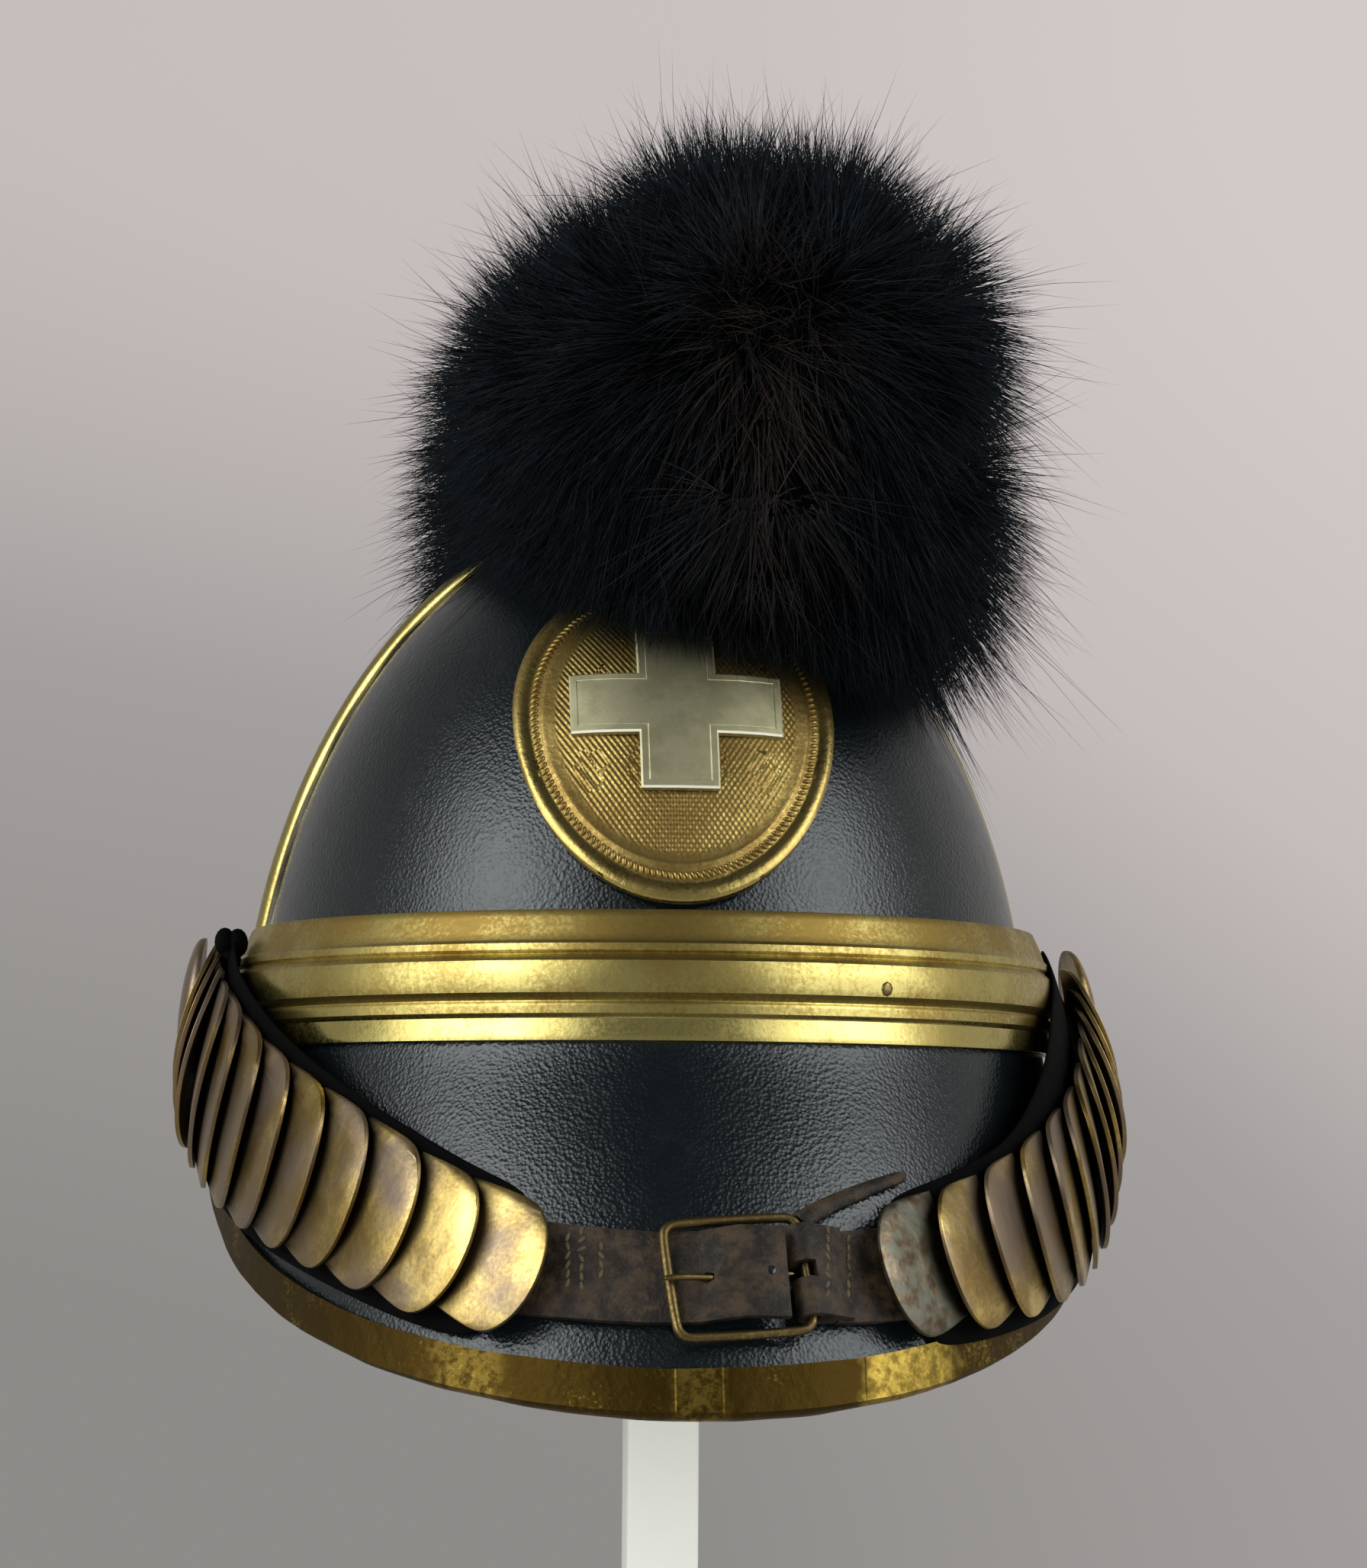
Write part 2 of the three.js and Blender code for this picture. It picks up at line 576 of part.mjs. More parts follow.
function furGeometry() {
  const middles = FUR_CORE.map(({ y, z, lean }) => new THREE.Vector3(lean, y, z));
  const spine = new THREE.CatmullRomCurve3(middles);
  const rings = FUR_CORE.map(({ radius }, row) => {
    const onward = spine.getTangent(row / (FUR_CORE.length - 1));
    const side = new THREE.Vector3(1, 0, 0);
    const above = side.clone().cross(onward).normalize();
    return spread(0, 2 * Math.PI, FUR.sides)
      .slice(0, FUR.sides)
      .map((angle) =>
        middles[row]
          .clone()
          .addScaledVector(above, radius * Math.cos(angle))
          .addScaledVector(side, radius * Math.sin(angle)),
      );
  });
  let crest = solid(capped(rings));
  const goldenTurn = Math.PI * (3 - Math.sqrt(5));
  let count = 0;
  FUR_CORE.forEach(({ locks }, row) => {
    for (let lock = 0; lock < locks; lock++) {
      crest = crest.add(furLock(spine, row + (lock + 0.5) / locks, count * goldenTurn));
      count += 1;
    }
  });
  const grown = (size) => size + FUR.seat;
  const outline = spread(0, Math.PI / 2, SKULL_MESH.courses).map(
    (rise) => new THREE.Vector2(planShare(rise), heightShare(rise)),
  );
  const bowl = new THREE.LatheGeometry([new THREE.Vector2(0, 0), ...outline], SKULL_MESH.sides);
  bowl.rotateX(Math.PI / 2).scale(grown(SKULL.halfWidth), grown(SKULL.halfLength), grown(SKULL.height));
  const braces = [-1, 1].map((side) => braceGeometry(side, 2 * GAP));
  const pockets = [bowl, plateGeometry(CROSS.metal + 3 * GAP), ...braces];
  for (const pocket of pockets) crest = crest.subtract(solid(pocket));
  return geometryOf(crest);
}

// One lock: a tapered tuft rooted in the core, which leans outward and towards the nearer end.
function furLock(spine, row, angle) {
  const share = row / (FUR_CORE.length - 1);
  const low = Math.floor(row);
  const radius = lerp(FUR_CORE[low].radius, FUR_CORE[low + 1].radius, row - low);
  const onward = spine.getTangent(share);
  const side = new THREE.Vector3(1, 0, 0);
  const above = side.clone().cross(onward);
  const spoke = above.multiplyScalar(Math.cos(angle)).addScaledVector(side, Math.sin(angle)).normalize();
  const around = onward.clone().cross(spoke).multiplyScalar(-Math.sin(angle));
  const endward = (2 * share - 1) ** 3;
  const grain = spoke.clone().addScaledVector(onward, endward).addScaledVector(around, LOCK.sweep);
  grain.normalize();
  const size = 1 + LOCK.unevenness * Math.sin(row * angle);
  const tuft = new THREE.ConeGeometry(LOCK.radius, LOCK.length, LOCK.sides);
  tuft.translate(0, LOCK.out * size - LOCK.length / 2, 0);
  const swing = new THREE.Quaternion().setFromUnitVectors(new THREE.Vector3(0, 1, 0), grain);
  const root = spine.getPoint(share).addScaledVector(spoke, radius);
  return solid(tuft, new THREE.Matrix4().makeRotationFromQuaternion(swing).setPosition(root));
}

// The stand: a flat base, a square post and a rounded head under the crown

function standBaseGeometry() {
  const [half, corner] = [STAND.base / 2, STAND.baseCorner];
  const outline = new THREE.Shape();
  const centres = [[1, 1], [-1, 1], [-1, -1], [1, -1]];
  centres.forEach(([x, y], quarter) => {
    const start = (quarter * Math.PI) / 2;
    outline.absarc(x * (half - corner), y * (half - corner), corner, start, start + Math.PI / 2);
  });
  return new THREE.ExtrudeGeometry(outline, {
    depth: STAND.baseHeight, bevelEnabled: false, curveSegments: STAND.cornerSteps,
  });
}

// The head's top follows the inside of the crown.
function crownInside(radius) {
  const rise = Math.acos((radius / (SKULL.halfWidth - SKULL.wall)) ** (SKULL.slack / 2));
  return (SKULL.height - SKULL.wall) * heightShare(rise) - STAND_HEAD.seat;
}

function standHeadGeometry() {
  const { radius, height, sides, courses } = STAND_HEAD;
  const bottom = crownInside(radius) - height;
  const top = spread(radius, 0, courses).map((reach) => new THREE.Vector2(reach, crownInside(reach)));
  const profile = [new THREE.Vector2(0, bottom), new THREE.Vector2(radius, bottom), ...top];
  return new THREE.LatheGeometry(profile, sides).rotateX(Math.PI / 2);
}

// Assembly

const helmet = new THREE.Group();
helmet.position.z = HELMET_LIFT;

function place(parent, name, geometry, colour, matrix = new THREE.Matrix4()) {
  const mesh = new THREE.Mesh(geometry, new THREE.MeshStandardMaterial(colour));
  mesh.name = name;
  mesh.applyMatrix4(matrix);
  parent.add(mesh);
}

place(helmet, "skull", skullGeometry(), COLOUR.leather);
place(helmet, "front_peak", peakGeometry(), COLOUR.leather);
place(helmet, "peak_binding", bindingGeometry(), COLOUR.brass);
place(helmet, "front_band", bandGeometry(), COLOUR.brass);
place(helmet, "front_plate", plateGeometry(), COLOUR.brass);
place(helmet, "plate_cross", crossGeometry(), COLOUR.nickel);
place(helmet, "fur_crest", furGeometry(), COLOUR.fur);

const chains = [
  { hand: "left", side: -1, rows: LEFT_ROUTE, lastScaleTurn: -25.4 },
  { hand: "right", side: 1, rows: RIGHT_ROUTE, lastScaleTurn: 30.5 },
];
for (const { hand, side, rows, lastScaleTurn } of chains) {
  const route = routeThrough(rows);
  place(helmet, `side_brace_${hand}`, braceGeometry(side), COLOUR.brass);
  place(helmet, `boss_${hand}`, bossGeometry(), COLOUR.tarnished, bossFrame(rows));
  const lastRoot = route.distanceTo(lastScaleTurn);
  const rootOf = (share) => lerp(SCALE_ROW.first, lastRoot, share ** SCALE_ROW.crowding);
  for (let i = 0; i < SCALE.count; i++) {
    const share = i / (SCALE.count - 1);
    const width = lerp(SCALE_ROW.widest, SCALE_ROW.narrowest, share ** SCALE_ROW.taper);
    const pitch = rootOf(share + 1 / (SCALE.count - 1)) - rootOf(share);
    const name = `scale_${hand}_${String(i + 1).padStart(2, "0")}`;
    place(helmet, name, scaleGeometry(width, pitch), COLOUR.tarnished, route.frameAt(rootOf(share)));
  }
}

const strap = (rows) => solid(ribbonGeometry(routeThrough(rows))).subtract(stemHole(rows));
const leftStrap = strap(LEFT_ROUTE).subtract(solid(prongGeometry(GAP), buckleFrame()));
const rightStrap = strap(RIGHT_ROUTE).add(foldSolid());
place(helmet, "chin_strap_left", geometryOf(leftStrap), COLOUR.strap);
place(helmet, "chin_strap_right", geometryOf(rightStrap), COLOUR.strap);
place(helmet, "buckle_frame", buckleGeometry(), COLOUR.brass, buckleFrame());
place(helmet, "buckle_prong", prongGeometry(), COLOUR.brass, buckleFrame());

const stand = new THREE.Group();
const postFoot = STAND.baseHeight + GAP;
const postTop = HELMET_LIFT + crownInside(STAND_HEAD.radius) - STAND_HEAD.height - GAP;
const post = new THREE.BoxGeometry(STAND.post, STAND.post, postTop - postFoot);
post.translate(STAND.postSide, 0, (postFoot + postTop) / 2);
place(stand, "stand_base", standBaseGeometry(), COLOUR.painted);
place(stand, "stand_post", post, COLOUR.painted);
place(stand, "stand_head", standHeadGeometry().translate(0, 0, HELMET_LIFT), COLOUR.painted);

const dragoonHelmet = new THREE.Group();
dragoonHelmet.add(helmet, stand);

export default dragoonHelmet;
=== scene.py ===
# %% [markdown]
# # A dragoon helmet on its stand
# The helmet is a tall bowl of black leather with a deep peak, brass fittings, a chain of brass scales and a
# thick roll of black fur over the crown. The imported model holds every solid at its true size, in metres. This
# notebook gives each its surface, its wear and its small parts. It starts by loading the model.

# %% Load the imported model
import contextlib
from math import asin, cos, hypot, pi, radians, sin, sqrt

import bpy
import numpy as np
from mathutils import Matrix, Vector
from mathutils.bvhtree import BVHTree


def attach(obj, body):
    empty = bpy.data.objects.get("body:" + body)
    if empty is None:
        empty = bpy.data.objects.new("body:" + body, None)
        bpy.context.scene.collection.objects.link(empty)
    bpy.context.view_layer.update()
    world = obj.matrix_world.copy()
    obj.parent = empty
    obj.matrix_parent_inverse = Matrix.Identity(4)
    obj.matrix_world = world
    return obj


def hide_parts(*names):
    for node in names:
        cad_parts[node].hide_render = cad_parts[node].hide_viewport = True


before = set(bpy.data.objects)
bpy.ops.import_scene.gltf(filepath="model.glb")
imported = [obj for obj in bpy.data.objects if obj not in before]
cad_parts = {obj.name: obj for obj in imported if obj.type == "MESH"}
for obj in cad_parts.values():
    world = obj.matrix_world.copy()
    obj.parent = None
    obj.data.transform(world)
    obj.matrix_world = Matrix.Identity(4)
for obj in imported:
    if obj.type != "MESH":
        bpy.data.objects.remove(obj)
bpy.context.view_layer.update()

MM = 0.001
scene = bpy.context.scene

# %% [markdown]
# ## The camera
# The camera comes first, since every later choice is judged through it. The picture was taken from about a
# metre away, a little to the helmet's right and a little below it, with a long lens. A long lens keeps the
# sides of the band nearly parallel, so its length is set from pixels and not left at the default.

# %% Camera
PICTURE = (1792, 2056)
FOCAL_PIXELS = 5980
SENSOR = 36
eye = Vector((-78.5, -996.9, 134)) * MM
heading, pitch, roll = (radians(angle) for angle in (5.017, 4.894, 0.4))
forward = Vector((sin(heading) * cos(pitch), cos(heading) * cos(pitch), sin(pitch)))
level = Vector((cos(heading), -sin(heading), 0))
upright = level.cross(forward)
right = level * cos(roll) + upright * sin(roll)
above = upright * cos(roll) - level * sin(roll)

bpy.ops.object.camera_add()
camera = bpy.context.object
camera.matrix_world = Matrix.Translation(eye) @ Matrix((right, above, -forward)).transposed().to_4x4()
camera.data.sensor_width = SENSOR
camera.data.lens = FOCAL_PIXELS * SENSOR / max(PICTURE)
camera.data.clip_start = 0.01
scene.camera = camera


def sight(across, down):
    """The direction that a pixel of the picture looks in."""
    sideways = (across - PICTURE[0] / 2) / FOCAL_PIXELS
    upwards = (PICTURE[1] / 2 - down) / FOCAL_PIXELS
    return (forward + right * sideways + above * upwards).normalized()


print("lens", round(camera.data.lens, 1), "mm")

# %% [markdown]
# ## Writing materials as sums
# A material in Blender is a graph of nodes. Wiring it by hand is fine for five nodes and tiring for fifty, so
# this small class wraps one socket. A sum or product of wrapped sockets adds the Math nodes by itself, and one
# method adds any other node: its kind, what goes into its sockets, and its settings.

# %% A socket that can be added and multiplied
class Shade:
    """One socket in the node tree of an owner, which is a material or the world."""

    def __init__(self, owner, socket=None):
        self.owner = owner
        self.socket = socket

    def node(self, kind, sockets=None, out=0, **settings):
        """A new node, as the shade of one of its outputs."""
        tree = self.owner.node_tree
        made = tree.nodes.new("ShaderNode" + kind)
        for name, value in settings.items():
            setattr(made, name, value)
        for name, value in (sockets or {}).items():
            if isinstance(value, Shade):
                tree.links.new(value.socket, made.inputs[name])
            else:
                made.inputs[name].default_value = value
        return Shade(self.owner, made.outputs[out] if len(made.outputs) else None)

    def math(self, operation, *others):
        return self.node("Math", dict(enumerate((self, *others))), operation=operation)

    def __add__(self, other):
        return self.math("ADD", other)

    def __sub__(self, other):
        return self.math("SUBTRACT", other)

    def __rsub__(self, other):
        return self.math("MULTIPLY_ADD", -1, other)

    def __mul__(self, other):
        return self.math("MULTIPLY", other)

    __radd__ = __add__
    __rmul__ = __mul__

    def between(self, low, high):
        """A mask that goes smoothly from 0 at low to 1 at high."""
        sockets = {"Value": self, "From Min": low, "From Max": high}
        return self.node("MapRange", sockets, interpolation_type="SMOOTHSTEP")

    def window(self, low, high, soft):
        """A mask that is 1 from low to high, with soft ends."""
        return self.between(low - soft, low + soft) * (1 - self.between(high - soft, high + soft))

    def axis(self, name):
        """One part of this shade's vector."""
        return self.node("SeparateXYZ", {"Vector": self}, name)

    def noise(self, size, detail=3, rough=0.5):
        """Cloudy noise with lumps of about this size in mm."""
        sockets = {"Vector": self, "Scale": 1 / (size * MM), "Detail": detail, "Roughness": rough}
        return self.node("TexNoise", sockets)

    def cells(self, size):
        """The distance inside cells of about this size in mm."""
        return self.node("TexVoronoi", {"Vector": self, "Scale": 1 / (size * MM)})

    def drift(self, detail, rough=0.5):
        """Slow noise across a whole piece, because with no vector it reads the piece's own box."""
        return self.node("TexNoise", {"Scale": 1, "Detail": detail, "Roughness": rough})

    def mix(self, one, other):
        """Colour one where this mask is 0, and the other where it is 1."""
        return self.node("Mix", {0: self, 6: one, 7: other}, 2, data_type="RGBA")


def rgb(red, green, blue):
    return (red, green, blue, 1)


def cleared(owner):
    """The first shade of a material or world, with no nodes yet."""
    owner.use_nodes = True
    owner.node_tree.nodes.clear()
    return Shade(owner)


def new_finish(name):
    """A new material, as the shade of its object coordinates."""
    return cleared(bpy.data.materials.new(name)).node("TexCoord", out="Object")


def close_finish(at, height=None, depth=0.1, **sockets):
    """Ends a material in a Principled shader, with a bump of this depth in mm."""
    values = {name.replace("_", " "): value for name, value in sockets.items()}
    if height is not None:
        values["Normal"] = at.node("Bump", {"Height": height, "Distance": depth * MM})
    shader = at.node("BsdfPrincipled", values)
    at.node("OutputMaterial", {"Surface": shader})
    print("finish", at.owner.name, "has", len(at.owner.node_tree.nodes), "nodes")
    return at.owner


# %% [markdown]
# ## The studio
# Polished brass shows what stands round it more than its own colour. The bright patches on the band tell where
# the lamps were: one soft light on each side, and a dim room behind the camera. A soft light is brightest in its
# middle, so each is a large area light with a smaller one over it. The leather's pale edges tell that the backdrop
# was pale all the way round, so the world is dim in front and above, and pale behind. A weak light, hidden from
# reflections, lifts the white post out of the helmet's shade. The camera sees a smooth gradient.

# %% World and backdrop
scene.world = bpy.data.worlds.new("studio")
room = cleared(scene.world)
direction = room.node("TexCoord", out="Generated")
sideways, rearward, upward = (direction.axis(name) for name in ("X", "Y", "Z"))
BACKDROP_STOPS = [
    (0.0, rgb(0.27, 0.26, 0.25)),
    (0.40, rgb(0.37, 0.35, 0.345)),
    (0.66, rgb(0.56, 0.51, 0.50)),
    (1.0, rgb(0.64, 0.59, 0.58)),
]
rightward = sideways - 0.09
rising = upward.between(-0.09, 0.25) + rightward * 0.75 + rightward.math("MAXIMUM", 0) * 2.3
backdrop_colour = room.node("ValToRGB", {"Fac": rising * 0.757})
stops = backdrop_colour.socket.node.color_ramp.elements
while len(stops) < len(BACKDROP_STOPS):
    stops.new(0.5)
for stop, (place, colour) in zip(stops, BACKDROP_STOPS):
    stop.position = place
    stop.color = colour
backdrop = room.node("Background", {"Color": backdrop_colour})
overhead = upward.between(0.15, 0.85)
aside = sideways.math("ABSOLUTE").between(0.35, 0.85)
in_front = aside.mix(rgb(0.22, 0.22, 0.225), rgb(0.30, 0.295, 0.29))
dim = overhead.mix(in_front, rgb(0.04, 0.04, 0.045))
both_sides = sideways.between(-0.7, 0.7).mix(rgb(0.29, 0.285, 0.28), rgb(0.44, 0.42, 0.41))
pale = overhead.mix(both_sides, rgb(0.16, 0.155, 0.155))
fill = room.node("Background", {"Color": rearward.between(-0.2, 0.5).mix(dim, pale)})
seen = room.node("LightPath", out="Is Camera Ray")
room.node("OutputWorld", {"Surface": room.node("MixShader", {0: seen, 1: fill, 2: backdrop})})
scene.view_settings.view_transform = "Standard"
print("backdrop stops", len(BACKDROP_STOPS))

# %% Lights and floor
AIM = Vector((0, 0, 0.21))


def softbox(name, azimuth, elevation, distance, width, height, power):
    """An area light that looks at the helmet. Azimuth 0 is in front and grows to the right."""
    a, e = radians(azimuth), radians(elevation)
    place = Vector((sin(a) * cos(e), -cos(a) * cos(e), sin(e))) * distance
    bpy.ops.object.light_add(type="AREA", location=AIM + place)
    lamp = bpy.context.object
    lamp.name = name
    lamp.rotation_euler = place.to_track_quat("Z", "Y").to_euler()
    lamp.data.shape = "RECTANGLE"
    lamp.data.size = width
    lamp.data.size_y = height
    lamp.data.energy = power
    return lamp


# Azimuth and elevation in degrees, distance, width and height in metres, and power in watts.
LAMPS = {
    "left_softbox": (-61, 18, 1.25, 1.35, 1.36, 9.0),
    "left_core": (-60, 27, 1.20, 0.70, 0.60, 3.2),
    "right_softbox": (58, 18, 1.25, 1.30, 1.36, 7.0),
    "right_core": (60, 26, 1.20, 0.64, 0.56, 2.4),
    "low_front": (0, -8, 1.35, 0.7, 0.2, 4.4),
}
lamps = {name: softbox(name, *values) for name, values in LAMPS.items()}
lamps["low_front"].visible_glossy = False

FLOOR_RADIUS = 0.46
bpy.ops.mesh.primitive_circle_add(vertices=96, radius=FLOOR_RADIUS, fill_type="NGON")
floor = bpy.context.object
floor.name = "floor"
at = new_finish("pale floor")
tone = at.noise(60).mix(rgb(0.60, 0.585, 0.575), rgb(0.64, 0.625, 0.615))
floor.data.materials.append(close_finish(at, Base_Color=tone, Roughness=0.75))

# %% [markdown]
# ## Working on copies of the solids
# The solids already have the right shape and place, but they are built from few flat faces. A copy of a solid
# is loose triangles, so it is merged, and its triangles are paired to quads. Sharp edges are then creased and
# a Subdivision Surface rounds the rest. A small bevel at the end catches the light as a real edge does.

# %% Helpers for shaping
def pick(piece):
    """Selects one object and nothing else."""
    bpy.ops.object.select_all(action="DESELECT")
    piece.select_set(True)
    bpy.context.view_layer.objects.active = piece


@contextlib.contextmanager
def editing(piece):
    """Opens a piece in edit mode for the lines of a with block."""
    pick(piece)
    bpy.ops.object.mode_set(mode="EDIT")
    yield
    bpy.ops.object.mode_set(mode="OBJECT")


def modify(piece, kind, **settings):
    """Adds a modifier and applies it."""
    pick(piece)
    modifier = piece.modifiers.new(kind.title(), kind)
    for name, value in settings.items():
        setattr(modifier, name, value)
    bpy.ops.object.modifier_apply(modifier=modifier.name)


def worked_copy(node, name):
    """A copy of a solid's mesh as an object of its own, merged and made of quads."""
    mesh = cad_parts[node].data.copy()
    mesh.materials.clear()
    piece = bpy.data.objects.new(name, mesh)
    scene.collection.objects.link(piece)
    pick(piece)
    bpy.ops.mesh.customdata_custom_splitnormals_clear()
    with editing(piece):
        bpy.ops.mesh.select_all(action="SELECT")
        bpy.ops.mesh.remove_doubles(threshold=0.01 * MM)
        bpy.ops.mesh.tris_convert_to_quads(face_threshold=radians(50), shape_threshold=radians(70))
    return piece


def subdivide(piece, levels=2):
    modify(piece, "SUBSURF", levels=levels, render_levels=levels)


def round_off(piece, angle, amount=1.0):
    """Subdivides a piece, and creases the edges that bend by more than an angle so that they stay."""
    with editing(piece):
        bpy.ops.mesh.select_mode(type="EDGE")
        bpy.ops.mesh.select_all(action="DESELECT")
        bpy.ops.mesh.edges_select_sharp(sharpness=radians(angle))
        bpy.ops.transform.edge_crease(value=amount)
    subdivide(piece)


def soften(piece, width, angle=35, segments=2):
    """Rounds the edges that bend by more than an angle. The width is in mm."""
    modify(piece, "BEVEL", width=width * MM, segments=segments, limit_method="ANGLE", angle_limit=radians(angle))


def smooth(piece, angle=40):
    pick(piece)
    bpy.ops.object.shade_smooth_by_angle(angle=radians(angle))


def dress(piece, finish, slot, *nodes):
    """Gives a piece its finish, and lets it stand for its solids. The slot argument is not used."""
    piece.data.materials.clear()
    piece.data.materials.append(finish)
    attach(piece, "root")
    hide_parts(*nodes)
    triangles = sum(len(face.vertices) - 2 for face in piece.data.polygons)
    print(piece.name, triangles, "triangles")
    return piece


def face_of(mesh):
    """A mesh's faces as a tree that finds the nearest place on them."""
    return BVHTree.FromPolygons([v.co for v in mesh.vertices], [face.vertices for face in mesh.polygons])


def bed(piece, base, gap=0.7, sink=0.3):
    """Sinks the points that nearly touch a solid into it, since the solids keep a small gap."""
    for vertex in piece.data.vertices:
        place, normal, _, _ = base.find_nearest(vertex.co, gap * MM)
        if place is not None:
            vertex.co = place - normal * sink * MM


def seat_under(piece, across, down):
    """Where a pixel's line of sight meets a piece, and the way that the piece faces there."""
    tree = BVHTree.FromObject(piece, bpy.context.evaluated_depsgraph_get())
    place, normal, _, _ = tree.ray_cast(eye, sight(across, down))
    return place, normal


# %% [markdown]
# ## Black leather
# The skull and the peak are cowhide, blocked wet over a form and blacked. The hide keeps a fine pebbled grain,
# old handling has rubbed it brown-grey in places, and wax leaves a soft broken shine. Three scales of bump make
# that: pebbles of a millimetre, fine pores, and slow dents over centimetres.

# %% Leather finish
def black_leather(name, pebble, depth, shine):
    at = new_finish(name)
    pebbles = at.cells(pebble)
    pores = at.noise(0.4, detail=2)
    dents = at.noise(26, detail=2)
    scuffs = at.noise(9, detail=6, rough=0.7).between(0.56, 0.74)
    faded = at.drift(detail=4).between(0.60, 0.72)
    worn = scuffs * 0.55 + faded * 0.35
    colour = worn.mix(rgb(0.0040, 0.0068, 0.0080), rgb(0.016, 0.019, 0.020))
    rough = shine + at.noise(14, detail=5) * 0.14 + at.noise(3.5, detail=4, rough=0.6) * 0.12 + worn * 0.08
    height = pebbles * 1.5 + pores * 0.8 + dents * 3.0
    return close_finish(at, height, depth, Base_Color=colour, Roughness=rough,
                        Specular_IOR_Level=0.62, Specular_Tint=rgb(0.92, 0.98, 1.0))


skull_leather = black_leather("skull leather", 0.82, 0.062, 0.08)
peak_leather = black_leather("peak leather", 0.82, 0.062, 0.09)

# %% Skull and peak
def leather_piece(node, name, sharp, bevel, finish):
    piece = worked_copy(node, name)
    round_off(piece, sharp)
    soften(piece, bevel)
    smooth(piece)
    return dress(piece, finish, "skull_leather", node)


skull = leather_piece("skull", "leather_skull", 60, 0.5, skull_leather)
peak = leather_piece("front_peak", "leather_peak", 50, 0.4, peak_leather)

# %% [markdown]
# ## Old brass
# The band, the braces, the plate and the peak's binding are sheet brass. It was polished for a century and
# then left, so it is bright gold where it is proud and brown where polish never reached. Patina darkens the
# colour and dulls the shine together, and slow dents bend the reflections as they do in thin sheet. A few bright
# runs on the binding and the plate's lower rim are painted highlights.

# %% Brass finish
def old_brass(name, bright, brown, patina, rough, dent, depth=0.06, height=None, polish_and_highlight=None):
    """Brass from bright to brown. The mask brightens and smooths it: polish that hands and cloths still reach, and
    painted highlights on the plate's lower rim and the binding.
    """
    at = new_finish(name)
    clouds = at.noise(16, detail=6, rough=0.62)
    specks = at.noise(0.9, detail=4, rough=0.75)
    tarnish = (clouds * 0.5 + specks * 0.5).between(*patina)
    waves = at.noise(dent, detail=1) * 3.0 + at.noise(1.6, detail=2) * 0.6 + at.noise(0.5, detail=2) * 0.2
    dullness = rough + tarnish * 0.14 + specks * 0.06
    if polish_and_highlight is not None:
        # Where the mask is high the brass is brighter and smoother: real polish on the band, partly painted
        # highlight on the plate and the binding.
        polished_and_lit = polish_and_highlight(at)
        tarnish = tarnish - polished_and_lit * 0.7
        dullness = dullness - polished_and_lit * 0.14
    if height is not None:
        waves = waves + height(at)
    colour = tarnish.mix(bright, brown)
    return close_finish(at, waves, depth, Base_Color=colour, Roughness=dullness, Metallic=1.0)


GOLD = rgb(0.62, 0.53, 0.18)
BROWN = rgb(0.34, 0.235, 0.060)
# The height of the band's foot over the table, in mm.
LIFT = 160


def band_rubbed(at):
    """The band's hem is polished, its broad rib half so, and its upper strip is brown."""
    up = at.axis("Z") * (1 / MM) - LIFT
    return up.window(-2, 5, 0.6) * 0.7 + up.window(10.5, 15.5, 1.2) * 0.35 - up.window(20, 30, 0.8) * 0.45


band_brass = old_brass("band brass", GOLD, BROWN, (0.37, 0.60), 0.26, 22, polish_and_highlight=band_rubbed)
brace_brass = old_brass("brace brass", GOLD, BROWN, (0.44, 0.68), 0.20, 22)

# %% Band and side braces
band = worked_copy("front_band", "brass_band")
round_off(band, 22, 0.85)
soften(band, 0.12, 40)
smooth(band, 30)
dress(band, band_brass, "brass", "front_band")

HANDS = ("left", "right")
skull_face = face_of(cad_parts["skull"].data)
for hand in HANDS:
    brace = worked_copy(f"side_brace_{hand}", f"brass_brace_{hand}")
    bed(brace, skull_face)
    round_off(brace, 60)
    smooth(brace)
    dress(brace, brace_brass, "brass", f"side_brace_{hand}")

# %% Peak binding
# Sideways spans in mm where the binding is painted brighter and smoother: painted highlights.
HIGHLIGHT_RUNS = ((-49, -36), (-4, 5), (33, 52))
LAPS = (-4, 5, 33)


def binding_highlights(at):
    """Three short runs of the binding are painted bright as highlights, with ragged ends."""
    side = at.axis("X") * (1 / MM) + (at.noise(5) - 0.5) * 9
    ragged = at.noise(2.2, detail=4, rough=0.7).between(0.36, 0.60)
    runs = [side.window(low, high, 2.5) for low, high in HIGHLIGHT_RUNS]
    return runs[0] * ragged * 0.3 + runs[1] * ragged * 0.5 + runs[2] * (0.4 + ragged * 0.6)


def binding_laps(at):
    """Small steps where one end of the sheet laps the next, and kinks from the hammer."""
    side = at.axis("X") * (1 / MM)
    steps = [side.between(lap - 0.25, lap + 0.25) for lap in LAPS]
    return steps[0] - steps[1] + steps[2] + at.noise(5) * 3.0


binding_brass = old_brass("binding brass", rgb(0.52, 0.37, 0.07), rgb(0.060, 0.037, 0.007), (0.21, 0.46), 0.36, 12,
                          depth=0.14, height=binding_laps, polish_and_highlight=binding_highlights)
binding = worked_copy("peak_binding", "brass_binding")
round_off(binding, 40)
hammered = bpy.data.textures.new("hammered", "CLOUDS")
hammered.noise_scale = 24 * MM
modify(binding, "DISPLACE", texture=hammered, texture_coords="LOCAL", strength=MM)
smooth(binding, 35)
dress(binding, binding_brass, "brass", "peak_binding")

# %% [markdown]
# ## The front plate
# The plate is stamped sheet: a smooth rim, a border like a fine rope, and a ground of tiny crossing grooves.
# The solid has the rim, and a table of heights gives it a finer profile. The grooves follow the plate, so the
# piece gets a UV map that holds the distance across and up the plate in metres, and the finish turns two slanting
# waves in it into relief. The rope is one slanted bead, copied round the oval.

